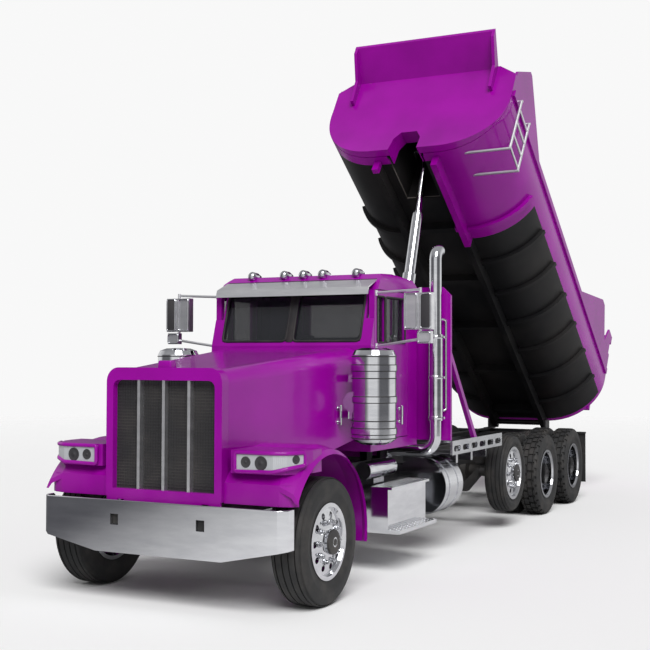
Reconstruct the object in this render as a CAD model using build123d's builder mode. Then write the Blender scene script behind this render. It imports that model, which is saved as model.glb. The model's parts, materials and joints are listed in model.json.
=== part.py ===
import os
from math import atan2, cos, degrees, hypot, radians, sin

from build123d import *

os.makedirs("parts", exist_ok=True)

# Axles and tyres, all lengths in mm, each "back" measured from the front axle
BUMPER_AHEAD = 720
LIFT_BACK = 5080
DRIVE_BACK = 6500
TANDEM_PITCH = 1340
TYRE_R = 530
RIM_R = 300
STEER_W = 300
STEER_OUT = 1240
LIFT_R = 465
LIFT_W = 255
LIFT_OUT = 1210
LIFT_Z = 660
DUAL_W = 275
DUAL_PITCH = 340
DUAL_OUT = 1220
KINGPIN_Y = 900
SPINDLE_R = 45
RUN_GAP = 0.3

# Frame
FRAME_TOP = 980
RAIL_H = 270
RAIL_Y = 432
RAIL_FLANGE = 90
RAIL_WEB = 12

# Bed, given along its floor (u) and up from its hinge pin (w)
HINGE_BACK = 9150
HINGE_Z = 1060
RAISE = 36
BED_L = 5830
BED_Y = 1220
FLOOR_W = 110
WALL_W = 1020
BED_T = 30
BELLY_R = 800
SILL_H = 150
SILL_Y = 390
SILL_T = 80
BULK_LEAN = 90
BULK_W = 1450
SHIELD_L = 350
SHIELD_RISE = 300
SHIELD_Y = 960
WING_W = 1780
GATE_TOP_W = 1720
GATE_T = 70
GATE_LIP = 60
PIN_R = 40

# Hoist
HOIST_BACK = 3750
HOIST_Z = 500
HOIST_EYE_BACK = 480
HOIST_EYE_W = 640
HOIST_R = 118
HOIST_STEP = 17
STAGES = 4

# Cab and hood
CAB_FRONT = 1520
CAB_BACK = 2680
CAB_Y = 900
CAB_FLOOR = 1150
CAB_TOP = 2900
CAB_T = 60
PILLAR_W = 120
BELT_Z = 2170
GLASS_TOP = 2690
DOOR_FRONT = 1600
DOOR_BACK = 2440
DOOR_LOW = 1250
DOOR_GAP = 8
HOOD_TOP = 1960
COWL_TOP = 2150
GRILLE_Y = 575
COWL_Y = 790
GRILLE_AHEAD = 640
HOOD_PIVOT_Z = 850
HOOD_PIVOT_AHEAD = 590
ARCH_R = 690
FENDER_R = 765
FENDER_OUT = 1250
FENDER_Z = 560

# Door pins, mirrors and headlamps
DOOR_PIN_R = 10
DOOR_PIN_OUT = 20
MIRROR_Y = 1370
LAMP_LOW = 1120
LAMP_TOP = 1305
# Plans of a lamp pod, its lens and the apron below: ahead of the axle, out from the middle
POD = ((150, 640), (604, 640), (604, 1030), (560, 1120), (420, 1203), (300, 1225), (150, 1225))
LENS = (
    (606, 690), (606, 1031), (562, 1122), (423, 1205), (431, 1223), (577, 1137), (626, 1037), (626, 690),
)
APRON = (
    (560, GRILLE_Y + 1), (600, GRILLE_Y + 1), (600, 1080), (578, 1160), (530, 1222), (500, 1205),
    (545, 1145), (560, 1075),
)

# Air cleaners, exhaust stack, tanks and steps
CLEANER_BACK = 1190
CLEANER_Y = 1085
CLEANER_R = 205
CAN = (
    # height, radius
    (1250, 0), (1250, 110), (1275, 170), (1300, CLEANER_R), (1350, CLEANER_R), (1350, CLEANER_R + 10),
    (1400, CLEANER_R + 10), (1400, CLEANER_R), (1640, CLEANER_R), (1640, CLEANER_R + 10),
    (1690, CLEANER_R + 10), (1690, CLEANER_R), (1930, CLEANER_R), (1930, CLEANER_R + 10),
    (1980, CLEANER_R + 10), (1980, CLEANER_R),
    (2075, CLEANER_R), (2118, CLEANER_R - 22), (2140, 120), (2145, 0),
)
STACK_BACK = 2745
STACK_Y = 1085
STACK_R = 64
STACK_TOP = 3080
TANK_BACK = 2800
TANK_L = 520
TANK_R = 300
TANK_Y = 880
STEP_BACK = 1500
STEP_L = 950

# Headache rack and side decks
RACK_BACK = 2830
RACK_T = 40
RACK_Y = 1220
RACK_TOP = 2800
BRACE_L = 840
DECK_TOP = 1180
DECK_L = 1650

# Bulkhead plate, hoist doghouse, ladder and drive spindles
BULK_T = 40
DOG_Y = 230
DOG_W = 900
LADDER_LOW = 175
DRIVE_SPINDLE_R = 55

BED_TURN = radians(RAISE)
REAR_REACH = HINGE_BACK + (GATE_T + GATE_LIP) * cos(BED_TURN) + GATE_TOP_W * sin(BED_TURN)
AXLE_X = (REAR_REACH - BUMPER_AHEAD) / 2
HINGE_X = AXLE_X - HINGE_BACK
DRIVE_X = AXLE_X - DRIVE_BACK
LIFT_X = AXLE_X - LIFT_BACK
STEER_Y = STEER_OUT - STEER_W / 2
BED_HINGE = Axis((HINGE_X, 0, HINGE_Z), (0, -1, 0))
PIVOT_X = AXLE_X + HOOD_PIVOT_AHEAD
HOIST_EYE_U = BED_L - HOIST_EYE_BACK
SCREEN_Y = CAB_Y - PILLAR_W
SIDES = (("left", 1), ("right", -1))


def save(part, name):
    part.label = name
    export_step(part, f"parts/{name}.step")


def block(x, y, z, mode=Mode.ADD):
    with Locations(((x[0] + x[1]) / 2, (y[0] + y[1]) / 2, (z[0] + z[1]) / 2)):
        Box(abs(x[1] - x[0]), abs(y[1] - y[0]), abs(z[1] - z[0]), mode=mode)


def rod(start, end, radius, mode=Mode.ADD):
    line = Vector(*end) - Vector(*start)
    with BuildSketch(Plane(start, z_dir=line)) as disc:
        Circle(radius)
    extrude(disc.sketch, amount=line.length, mode=mode)


def slab(plane, points, amount, mode=Mode.ADD):
    with BuildSketch(plane) as outline:
        with BuildLine():
            Polyline(*points, close=True)
        make_face()
    extrude(outline.sketch, amount=amount, mode=mode)


def side_plane(y):
    return Plane((0, y, 0), x_dir=(1, 0, 0), z_dir=(0, -1, 0))


def cross_plane(x):
    return Plane((x, 0, 0), x_dir=(0, 1, 0), z_dir=(1, 0, 0))


def bed_at(u, w):
    return HINGE_X + u, HINGE_Z + w


def raised(part):
    return part.rotate(BED_HINGE, RAISE)


# Frame: two channels, cross members, hinge shaft and hoist cradle
rail_front = AXLE_X + 520
rail_back = HINGE_X + 150
rail_low = FRAME_TOP - RAIL_H
hoist_x = AXLE_X - HOIST_BACK
with BuildPart() as frame:
    for name, side in SIDES:
        outer = side * RAIL_Y
        inner = side * (RAIL_Y - RAIL_FLANGE)
        web = side * (RAIL_Y - RAIL_WEB)
        slab(
            cross_plane(rail_back),
            (
                (inner, rail_low),
                (outer, rail_low),
                (outer, FRAME_TOP),
                (inner, FRAME_TOP),
                (inner, FRAME_TOP - RAIL_WEB),
                (web, FRAME_TOP - RAIL_WEB),
                (web, rail_low + RAIL_WEB),
                (inner, rail_low + RAIL_WEB),
            ),
            rail_front - rail_back,
        )
        block(
            (rail_back + 10, HINGE_X - 50),
            (outer + side * 4, outer + side * 36),
            (rail_low, HINGE_Z + 50),
        )
        block((rail_back - 1, rail_back + 220), (outer - side, outer + side * 36), (rail_low, FRAME_TOP))
        block((hoist_x - 345, hoist_x + 160), (side * 170, side * 200), (HOIST_Z - 80, FRAME_TOP - 60))
        rod((hoist_x, side * 165, HOIST_Z), (hoist_x, side * 205, HOIST_Z), 34 + RUN_GAP, Mode.SUBTRACT)
    for back in (-480, 2300, HOIST_BACK + 390, 5750, 7170, 8520):
        x = AXLE_X - back
        block(
            (x - 50, x + 50),
            (-RAIL_Y + RAIL_WEB - 1, RAIL_Y - RAIL_WEB + 1),
            (rail_low + 40, FRAME_TOP - 40),
        )
    x = hoist_x + 160
    block(
        (x - 12, x + 12),
        (-RAIL_Y + RAIL_WEB - 1, RAIL_Y - RAIL_WEB + 1),
        (rail_low + 30, FRAME_TOP - 60),
    )
    block((rail_back - 20, rail_back + 1), (-RAIL_Y, RAIL_Y), (rail_low, FRAME_TOP - 20))
    with BuildSketch(Plane((rail_back - 21, 0, rail_low + 120), x_dir=(0, 1, 0), z_dir=(1, 0, 0))):
        with GridLocations(85.7, 44.5, 2, 2):
            Circle(8.75)
    extrude(amount=23, mode=Mode.SUBTRACT)
    rod((HINGE_X, -RAIL_Y - 34, HINGE_Z), (HINGE_X, RAIL_Y + 34, HINGE_Z), PIN_R)
    for name, side in SIDES:
        block(
            (rail_front - 1, AXLE_X + BUMPER_AHEAD - 60),
            (side * 360, side * 480),
            (rail_low, FRAME_TOP - 200),
        )
        block(
            (PIVOT_X - 18, PIVOT_X + 18),
            (side * 400, side * 420),
            (FRAME_TOP - 201, HOOD_PIVOT_Z + 16),
        )
        near, far = sorted((side * 390, side * 430))
        rod((PIVOT_X, near, HOOD_PIVOT_Z), (PIVOT_X, far, HOOD_PIVOT_Z), 12 + RUN_GAP, Mode.SUBTRACT)
save(frame.part, "frame")

# Bumper: a bright plate with raked lower ends that wrap back
bumper_x = AXLE_X + BUMPER_AHEAD
with BuildPart() as bumper:
    plan = []
    for name, side in (("right", -1), ("left", 1)):
        ends = [(bumper_x - 150, side * 1200), (bumper_x - 60, side * 1200), (bumper_x, side * 1130)]
        plan.extend(ends if side < 0 else ends[::-1])
    for name, side in SIDES:
        ends = [(bumper_x - 150, side * 1175), (bumper_x - 70, side * 1175), (bumper_x - 40, side * 1110)]
        plan.extend(ends if side > 0 else ends[::-1])
    with BuildSketch(Plane.XY.offset(400)):
        with BuildLine():
            Polyline(*plan, close=True)
        make_face()
    extrude(amount=450)
    slab(
        cross_plane(bumper_x - 200),
        ((-1210, 390), (-1210, 540), (-620, 420), (620, 420), (1210, 540), (1210, 390)),
        300,
        Mode.SUBTRACT,
    )
    for name, side in SIDES:
        block((bumper_x - 50, bumper_x + 5), (side * 385, side * 465), (650, 740), Mode.SUBTRACT)
        block((bumper_x - 60, bumper_x - 39), (side * 350, side * 380), (600, 820))
save(bumper.part, "front_bumper")

# Engine and gearbox as one plain block
with BuildPart() as engine:
    block((AXLE_X - 1250, AXLE_X + 250), (-310, 310), (700, 1060))
    block((AXLE_X - 1180, AXLE_X + 250), (-370, 370), (1059, 1720))
    block((AXLE_X - 2100, AXLE_X - 1249), (-210, 210), (700, 1080))
    for back in (850, 200):
        block(
            (AXLE_X - back - 60, AXLE_X - back + 60),
            (-RAIL_Y + RAIL_WEB, RAIL_Y - RAIL_WEB),
            (800, 880),
        )
save(engine.part, "engine")

# Front axle beam with its leaf springs
spring_y = RAIL_Y - RAIL_FLANGE / 2
with BuildPart() as front_axle:
    slab(
        cross_plane(AXLE_X - 55),
        (
            (-KINGPIN_Y, 590), (-KINGPIN_Y, 470), (-700, 440), (-520, 400), (520, 400), (700, 440),
            (KINGPIN_Y, 470), (KINGPIN_Y, 590), (700, 560), (520, 500), (-520, 500), (-700, 560),
        ),
        110,
    )
    for name, side in SIDES:
        rod((AXLE_X, side * KINGPIN_Y, 470), (AXLE_X, side * KINGPIN_Y, 590), 62)
        rod((AXLE_X, side * KINGPIN_Y, 460), (AXLE_X, side * KINGPIN_Y, 600), 28, Mode.SUBTRACT)
        block((AXLE_X - 90, AXLE_X + 90), (side * (spring_y - 45), side * (spring_y + 45)), (499, 560))
        with BuildSketch(side_plane(side * spring_y + 40)):
            with BuildLine():
                ThreePointArc((AXLE_X - 640, 660), (AXLE_X, 559), (AXLE_X + 520, 660))
                Line((AXLE_X + 520, 660), (AXLE_X + 520, 685))
                ThreePointArc((AXLE_X + 520, 685), (AXLE_X, 625), (AXLE_X - 640, 685))
                Line((AXLE_X - 640, 685), (AXLE_X - 640, 660))
            make_face()
        extrude(amount=80)
        for x in (AXLE_X - 615, AXLE_X + 495):
            block((x - 25, x + 25), (side * spring_y - 40, side * spring_y + 40), (660, rail_low))
save(front_axle.part, "front_axle")

# Steering knuckles: yoke, kingpin and spindle
for name, side in SIDES:
    with BuildPart() as knuckle:
        rod((AXLE_X, side * KINGPIN_Y, 414), (AXLE_X, side * KINGPIN_Y, 640), 28 - RUN_GAP / 2)
        for low in (412, 596):
            block(
                (AXLE_X - 60, AXLE_X + 60),
                (side * (KINGPIN_Y - 60), side * (KINGPIN_Y + 105)),
                (low, low + 40),
            )
        block((AXLE_X - 60, AXLE_X + 60), (side * (KINGPIN_Y + 68), side * (KINGPIN_Y + 105)), (412, 636))
        rod(
            (AXLE_X, side * (KINGPIN_Y + 100), TYRE_R),
            (AXLE_X, side * (STEER_Y + 110), TYRE_R),
            SPINDLE_R,
        )
    save(knuckle.part, f"knuckle_{name}")

# Wheels: a tyre and a rim, each a half section turned about its axle
def tyre_section(plane, width, radius):
    half = width / 2
    mid = RIM_R + 0.45 * (radius - RIM_R)
    with BuildSketch(plane) as section:
        with BuildLine():
            Polyline(
                (half - 30, RIM_R), (half - 30, RIM_R + 22),
                (half, mid), (half - 10, radius - 45), (half - 45, radius),
                (45 - half, radius), (10 - half, radius - 45),
                (-half, mid), (30 - half, RIM_R + 22), (30 - half, RIM_R),
                close=True,
            )
        make_face()
    return section.sketch


def single_rim_points(half, bore):
    return (
        (-half - 13, 285), (-half - 13, 318), (-half - 1, 318), (-half - 1, RIM_R - RUN_GAP),
        (half + 1, RIM_R - RUN_GAP), (half + 1, 318),
        (half + 13, 318), (half + 13, 285), (half - 15, 272),
        (half - 5, 190), (half + 15, 130), (half + 20, 105),
        (half + 60, 100), (half + 68, 60), (half + 68, 0),
        (110, 0), (110, bore), (-60, bore), (-60, 100),
        (half - 35, 105), (half - 25, 190), (half - 40, 262),
        (5 - half, 272),
    )


def dual_rim_points(bore):
    half = DUAL_W / 2 - 30
    mid = DUAL_PITCH / 2
    out = mid + half
    gap = mid - half
    seat = RIM_R - RUN_GAP
    return (
        (-out - 13, 285), (-out - 13, 316), (-out - 1, 316),
        (-out - 1, seat), (1 - gap, seat), (1 - gap, 316),
        (12 - gap, 316), (12 - gap, 292), (gap - 12, 292),
        (gap - 12, 316), (gap - 1, 316), (gap - 1, seat),
        (out + 1, seat), (out + 1, 316), (out + 13, 316),
        (out + 13, 287), (out - 8, 276), (60, 268), (20, 235),
        (15, 145), (150, 125), (165, 60), (165, 0), (110, 0),
        (110, bore), (-200, bore), (-200, 150), (-20, 160),
        (-25, 240), (-60, 262), (5 - out, 272),
    )


WHEELS = (
    # name, axle x, axle z, centre y, tyre offsets, tyre width, tyre radius, kind
    ("front", AXLE_X, TYRE_R, STEER_Y, (0,), STEER_W, TYRE_R, "single"),
    ("lift", LIFT_X, LIFT_Z, LIFT_OUT - LIFT_W / 2, (0,), LIFT_W, LIFT_R, "single"),
    ("drive_fore", DRIVE_X, TYRE_R, DUAL_OUT - DUAL_W / 2 - DUAL_PITCH / 2,
     (-DUAL_PITCH / 2, DUAL_PITCH / 2), DUAL_W, TYRE_R, "dual"),
    ("drive_aft", DRIVE_X - TANDEM_PITCH, TYRE_R, DUAL_OUT - DUAL_W / 2 - DUAL_PITCH / 2,
     (-DUAL_PITCH / 2, DUAL_PITCH / 2), DUAL_W, TYRE_R, "dual"),
)
for wheel, x, z, y, offsets, width, radius, kind in WHEELS:
    for name, side in SIDES:
        axis = Axis((x, side * y, z), (0, 1, 0))
        with BuildPart() as tyre:
            for offset in offsets:
                plane = Plane((x, side * (y + offset), z), x_dir=(0, side, 0), z_dir=(side, 0, 0))
                revolve(tyre_section(plane, width, radius), axis=axis)
        save(tyre.part, f"tyre_{wheel}_{name}")
        with BuildPart() as rim:
            if kind == "single":
                points = single_rim_points(width / 2 - 30, SPINDLE_R + RUN_GAP)
                holes = (10, 222, 27)
            else:
                points = dual_rim_points(DRIVE_SPINDLE_R + RUN_GAP)
                holes = (10, 195, 26)
            plane = Plane((x, side * y, z), x_dir=(0, side, 0), z_dir=(side, 0, 0))
            with BuildSketch(plane) as section:
                with BuildLine():
                    Polyline(*points, close=True)
                make_face()
            revolve(section.sketch, axis=axis)
            with BuildSketch(Plane((x, side * (y - 40), z), x_dir=(1, 0, 0), z_dir=(0, side, 0))) as ring:
                with PolarLocations(holes[1], holes[0]):
                    Circle(holes[2])
            extrude(ring.sketch, amount=170, mode=Mode.SUBTRACT)
        save(rim.part, f"rim_{wheel}_{name}")

# Lift axle, held up on its hangers
with BuildPart() as lift_axle:
    y = LIFT_OUT - LIFT_W / 2
    slab(
        cross_plane(LIFT_X - 55),
        (
            (-760, LIFT_Z + 60), (-760, LIFT_Z - 60), (-600, LIFT_Z - 250), (600, LIFT_Z - 250),
            (760, LIFT_Z - 60), (760, LIFT_Z + 60), (560, LIFT_Z - 140), (-560, LIFT_Z - 140),
        ),
        110,
    )
    for name, side in SIDES:
        rod((LIFT_X, side * 740, LIFT_Z), (LIFT_X, side * (y + 105), LIFT_Z), SPINDLE_R)
        block((LIFT_X - 120, LIFT_X + 120), (side * 350, side * 424), (LIFT_Z - 141, rail_low))
save(lift_axle.part, "lift_axle")

# Drive axles joined by their propeller shaft, on their walking beams
with BuildPart() as drive_axles:
    for x in (DRIVE_X, DRIVE_X - TANDEM_PITCH):
        rod((x, -690, TYRE_R), (x, 690, TYRE_R), 75)
        rod((x, -1010, TYRE_R), (x, 1010, TYRE_R), DRIVE_SPINDLE_R)
        rod((x, -130, TYRE_R), (x, 130, TYRE_R), 210)
    rod((DRIVE_X - TANDEM_PITCH, 0, TYRE_R + 40), (DRIVE_X, 0, TYRE_R + 40), 48)
    rod((DRIVE_X, 0, TYRE_R + 60), (AXLE_X - 4700, 0, TYRE_R + 60), 48)
    block(
        (AXLE_X - 4740, AXLE_X - 4660),
        (-RAIL_Y + 100, RAIL_Y - 100),
        (TYRE_R, rail_low + RAIL_WEB + 1),
    )
    block(
        (AXLE_X - 4740, AXLE_X - 4660),
        (-RAIL_Y + 13, RAIL_Y - 13),
        (rail_low + RAIL_WEB, rail_low + 60),
    )
    bogie_x = DRIVE_X - TANDEM_PITCH / 2
    for name, side in SIDES:
        near = (side * 440, side * 530)
        half = TANDEM_PITCH / 2
        slab(
            side_plane(max(near)),
            (
                (bogie_x - half - 90, 390), (bogie_x - half + 90, 340), (bogie_x + half - 90, 340),
                (bogie_x + half + 90, 390), (bogie_x + half + 90, 465), (bogie_x - half - 90, 465),
            ),
            90,
        )
        slab(
            side_plane(max(near)),
            (
                (bogie_x - 130, 454), (bogie_x + 130, 454), (bogie_x + 260, rail_low + 150),
                (bogie_x - 260, rail_low + 150),
            ),
            90,
        )
        block(
            (bogie_x - 260, bogie_x + 260),
            (side * RAIL_Y, side * 445),
            (rail_low + 20, rail_low + 150),
        )
save(drive_axles.part, "drive_axles")

# Cab: a hollow shell with its door, windscreen and rear window openings
cab_x = AXLE_X - CAB_FRONT
back_x = AXLE_X - CAB_BACK
rake = 165


def cab_profile(inset):
    return (
        (back_x + inset, CAB_FLOOR + inset), (cab_x - inset, CAB_FLOOR + inset), (cab_x - inset, BELT_Z),
        (cab_x - rake - inset, GLASS_TOP + 30), (cab_x - rake - 60 - inset, CAB_TOP - 90 - inset),
        (cab_x - rake - 190, CAB_TOP - 15 - inset), (cab_x - rake - 500, CAB_TOP - inset),
        (back_x + 60 + inset, CAB_TOP - 40 - inset), (back_x + inset, CAB_TOP - 110 - inset),
    )


def cab_volume(inset):
    half = CAB_Y - inset
    top = CAB_TOP - inset + 20
    bend = 150 - inset / 2
    with BuildPart() as volume:
        with BuildSketch(cross_plane(back_x - 10)) as section:
            with BuildLine():
                Polyline(
                    (-half, top - bend),
                    (-half, CAB_FLOOR - 10),
                    (half, CAB_FLOOR - 10),
                    (half, top - bend),
                )
                RadiusArc((half, top - bend), (half - bend, top), -bend)
                Line((half - bend, top), (bend - half, top))
                RadiusArc((bend - half, top), (-half, top - bend), -bend)
            make_face()
        extrude(section.sketch, amount=cab_x - back_x + 20)
        slab(side_plane(CAB_Y + 20), cab_profile(inset), 2 * CAB_Y + 40, Mode.INTERSECT)
    return volume.part


pane_low = BELT_Z + 40
door_x = (AXLE_X - DOOR_BACK + DOOR_GAP, AXLE_X - DOOR_FRONT - DOOR_GAP)
door_z = (DOOR_LOW + DOOR_GAP, GLASS_TOP + 30 - DOOR_GAP)
door_pin_x = door_x[1] - 12
DOOR_HINGES = (door_z[0] + 90, door_z[0] + 560)
with BuildPart() as cab:
    add(cab_volume(0))
    add(cab_volume(CAB_T), mode=Mode.SUBTRACT)
    for name, side in SIDES:
        block(
            (cab_x - 330, cab_x + 20),
            (side * 35, side * SCREEN_Y),
            (pane_low, GLASS_TOP),
            Mode.SUBTRACT,
        )
        block(
            (AXLE_X - DOOR_BACK, AXLE_X - DOOR_FRONT), (side * (CAB_Y - CAB_T - 30), side * (CAB_Y + 20)),
            (DOOR_LOW, GLASS_TOP + 30), Mode.SUBTRACT,
        )
    block((back_x - 10, back_x + CAB_T + 10), (-430, 430), (2260, 2640), Mode.SUBTRACT)
    for name, side in SIDES:
        pin = side * (CAB_Y + DOOR_PIN_OUT)
        leaf_x = AXLE_X - DOOR_FRONT
        for low in DOOR_HINGES:
            for start in (low, low + 256):
                rod((door_pin_x, pin, start), (door_pin_x, pin, start + 44), 15)
                block((door_pin_x, leaf_x + 40), (pin - 7, pin + 7), (start, start + 44))
                block((leaf_x + 4, leaf_x + 40), (side * (CAB_Y - 1), pin), (start, start + 44))
                rod(
                    (door_pin_x, pin, start - 5),
                    (door_pin_x, pin, start + 49),
                    DOOR_PIN_R + RUN_GAP,
                    Mode.SUBTRACT,
                )
    for name, side in SIDES:
        for x in (back_x + 160, cab_x - 160):
            block((x - 70, x + 70), (side * 350, side * RAIL_Y), (FRAME_TOP, CAB_FLOOR + 1))
save(cab.part, "cab")

slope = rake / (GLASS_TOP + 30 - BELT_Z)
with BuildPart() as cab_glass:
    for name, side in SIDES:
        low_x = cab_x - CAB_T / 2 - slope * (pane_low - BELT_Z)
        high_x = cab_x - CAB_T / 2 - slope * (GLASS_TOP - BELT_Z)
        near, far = sorted((side * 35, side * SCREEN_Y))
        slab(
            side_plane(far),
            (
                (low_x - 4, pane_low), (low_x + 4, pane_low),
                (high_x + 4, GLASS_TOP), (high_x - 4, GLASS_TOP),
            ),
            far - near,
        )
    block((back_x + 26, back_x + 34), (-430, 430), (2260, 2640))
save(cab_glass.part, "cab_glass")

# Sun visor with its two end cheeks
with BuildPart() as visor:
    top_x = cab_x - rake - 60 * 100 / (CAB_TOP - 120 - GLASS_TOP)
    low_back = cab_x - rake - 60 * 86 / (CAB_TOP - 120 - GLASS_TOP)
    slab(
        side_plane(CAB_Y - 40),
        (
            (top_x, GLASS_TOP + 130), (top_x + 200, GLASS_TOP + 50), (top_x + 225, GLASS_TOP - 25),
            (top_x + 211, GLASS_TOP - 25), (top_x + 188, GLASS_TOP + 42), (low_back, GLASS_TOP + 116),
        ),
        2 * (CAB_Y - 40),
    )
save(visor.part, "sun_visor")

# Roof lamps: five bullets in a row
with BuildPart() as lamps:
    for y in (-600, -220, 0, 220, 600):
        tip = cab_x - rake - 100
        with BuildSketch(Plane((tip, y, CAB_TOP - 5), x_dir=(-1, 0, 0), z_dir=(0, -1, 0))) as section:
            with BuildLine():
                Polyline((0, 0), (10, 32), (40, 45), (120, 45), (200, 22), (230, 0), close=True)
            make_face()
        revolve(section.sketch, axis=Axis((tip, y, CAB_TOP - 5), (1, 0, 0)))
    add(cab_volume(0), mode=Mode.SUBTRACT)
save(lamps.part, "roof_lamps")

# Doors: panel with its window, glass, and mirror on a tube frame
window_x = (door_x[0] + 70, door_x[1] - 60)
window_z = (BELT_Z + 30, door_z[1] - 60)
for name, side in SIDES:
    skin = (side * (CAB_Y - CAB_T), side * CAB_Y)
    with BuildPart() as door:
        block(door_x, skin, door_z)
        block(window_x, (side * (CAB_Y - CAB_T - 5), side * (CAB_Y + 5)), window_z, Mode.SUBTRACT)
        block((window_x[1] - 205, window_x[1] - 185), skin, (window_z[0] - 1, window_z[1] + 1))
        for low in DOOR_HINGES:
            pin = side * (CAB_Y + DOOR_PIN_OUT)
            rod((door_pin_x, pin, low), (door_pin_x, pin, low + 300), DOOR_PIN_R)
            rod((door_pin_x, pin, low + 50), (door_pin_x, pin, low + 250), 15)
            block((door_pin_x - 9, door_pin_x + 9), (side * (CAB_Y - 1), pin), (low + 50, low + 250))
    save(door.part, f"door_{name}")
    with BuildPart() as glass:
        mid = side * (CAB_Y - CAB_T / 2)
        block((window_x[0], window_x[1] - 205), (mid - 3, mid + 3), window_z)
        block((window_x[1] - 185, window_x[1]), (mid - 3, mid + 3), window_z)
    save(glass.part, f"door_glass_{name}")
    with BuildPart() as mirror:
        foot = door_x[1] - 30
        head = door_x[1] - 10
        for low, high in ((BELT_Z - 6, BELT_Z + 60), (GLASS_TOP - 10, GLASS_TOP + 10)):
            rod((foot, side * (CAB_Y + 6), low), (head, side * MIRROR_Y, high), 13)
            block((foot - 22, foot + 22), (side * CAB_Y, side * (CAB_Y + 10)), (low - 26, low + 26))
        rod((head, side * MIRROR_Y, BELT_Z + 30), (head, side * MIRROR_Y, GLASS_TOP + 30), 15)
        block(
            (head - 40, head + 40),
            (side * (MIRROR_Y - 150), side * (MIRROR_Y + 130)),
            (BELT_Z + 150, GLASS_TOP - 20),
        )
        block(
            (head - 30, head + 30),
            (side * (MIRROR_Y - 15), side * (MIRROR_Y + 120)),
            (BELT_Z + 20, BELT_Z + 135),
        )
    save(mirror.part, f"mirror_{name}")

# Seats, dashboard and steering wheel
seat_x = back_x + 305
with BuildPart() as seats:
    for y in (-480, 480):
        block((seat_x - 200, seat_x + 280), (y - 240, y + 240), (CAB_FLOOR + 330, CAB_FLOOR + 450))
        slab(
            side_plane(y + 230),
            (
                (seat_x - 200, CAB_FLOOR + 440),
                (seat_x - 80, CAB_FLOOR + 440), (seat_x - 150, CAB_FLOOR + 1180),
                (seat_x - 240, CAB_FLOOR + 1180),
            ),
            460,
        )
        block((seat_x - 130, seat_x + 190), (y - 160, y + 160), (CAB_FLOOR + CAB_T, CAB_FLOOR + 331))
save(seats.part, "seats")
dash_x = cab_x - CAB_T
with BuildPart() as dash:
    slab(
        side_plane(CAB_Y - CAB_T - 20),
        (
            (dash_x, CAB_FLOOR + 600), (dash_x - 110, CAB_FLOOR + 640), (dash_x - 180, CAB_FLOOR + 900),
            (dash_x - 150, BELT_Z - 40), (dash_x, BELT_Z - 10),
        ),
        2 * (CAB_Y - CAB_T - 20),
    )
    hub = (dash_x - 400, 480, CAB_FLOOR + 900)
    rod((dash_x - 110, 480, CAB_FLOOR + 720), hub, 30)
    wheel_plane = Plane(hub, z_dir=(-0.81, 0, 0.58))
    with BuildSketch(wheel_plane) as ring:
        Circle(225)
        Circle(195, mode=Mode.SUBTRACT)
        for turn in (0, 120, 240):
            with Locations(Rot(0, 0, turn) * Pos(105, 0, 0)):
                Rectangle(210, 34)
    extrude(ring.sketch, amount=26)
save(dash.part, "dashboard")

# Hood with its fenders, apron and headlamp housings
grille_x = AXLE_X + GRILLE_AHEAD
hood_front = grille_x - 100
hood_back = cab_x + 10


def hood_section(x, half, top, low, bend):
    with BuildSketch(cross_plane(x)) as section:
        with BuildLine():
            Polyline((-half, top - bend), (-half, low), (half, low), (half, top - bend))
            RadiusArc((half, top - bend), (half - bend, top), -bend)
            Line((half - bend, top), (bend - half, top))
            RadiusArc((bend - half, top), (-half, top - bend), -bend)
        make_face()
    return section.sketch


def plan(points, side, low, high, mode=Mode.ADD):
    with BuildSketch(Plane.XY.offset(low)) as outline:
        with BuildLine():
            Polyline(*((AXLE_X + ahead, side * out) for ahead, out in points), close=True)
        make_face()
    extrude(outline.sketch, amount=high - low, mode=mode)


fender_centre = Vector(AXLE_X, 0, FENDER_Z)
fender_start = radians(24)
with BuildPart() as hood:
    loft([
        hood_section(hood_front, GRILLE_Y - 10, HOOD_TOP - 20, 880, 110),
        hood_section(hood_back, COWL_Y, COWL_TOP, 1290, 160),
    ])
    loft(
        [
            hood_section(hood_front + 1, GRILLE_Y - 40, HOOD_TOP - 50, 860, 90),
            hood_section(hood_back - 1, COWL_Y - 30, COWL_TOP - 30, 1270, 140),
        ],
        mode=Mode.SUBTRACT,
    )
    for name, side in SIDES:
        radial = (cos(fender_start), 0, sin(fender_start))
        plane = Plane(fender_centre, x_dir=(0, side, 0), z_dir=(side * radial[2], 0, -side * radial[0]))
        with BuildSketch(plane) as section:
            with BuildLine():
                Polyline(
                    (FENDER_OUT - 170, FENDER_R), (GRILLE_Y + 2, FENDER_R),
                    (GRILLE_Y + 2, FENDER_R - 25), (FENDER_OUT - 175, FENDER_R - 25),
                    (FENDER_OUT - 60, FENDER_R - 52), (FENDER_OUT - 25, ARCH_R), (FENDER_OUT, ARCH_R),
                    (FENDER_OUT - 40, FENDER_R - 35), close=True,
                )
            make_face()
        revolve(section.sketch, axis=Axis(fender_centre, (0, -1, 0)), revolution_arc=166)
        block((AXLE_X + 600, AXLE_X + 900), (side * 500, side * 1300), (600, 1400), Mode.SUBTRACT)
        plan(APRON, side, 872, 1040)
        plan(POD, side, LAMP_LOW, LAMP_TOP)
    block((hood_back - 10, hood_front + 10), (-500, 500), (860, 1500), Mode.SUBTRACT)
save(hood.part, "hood")

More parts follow.
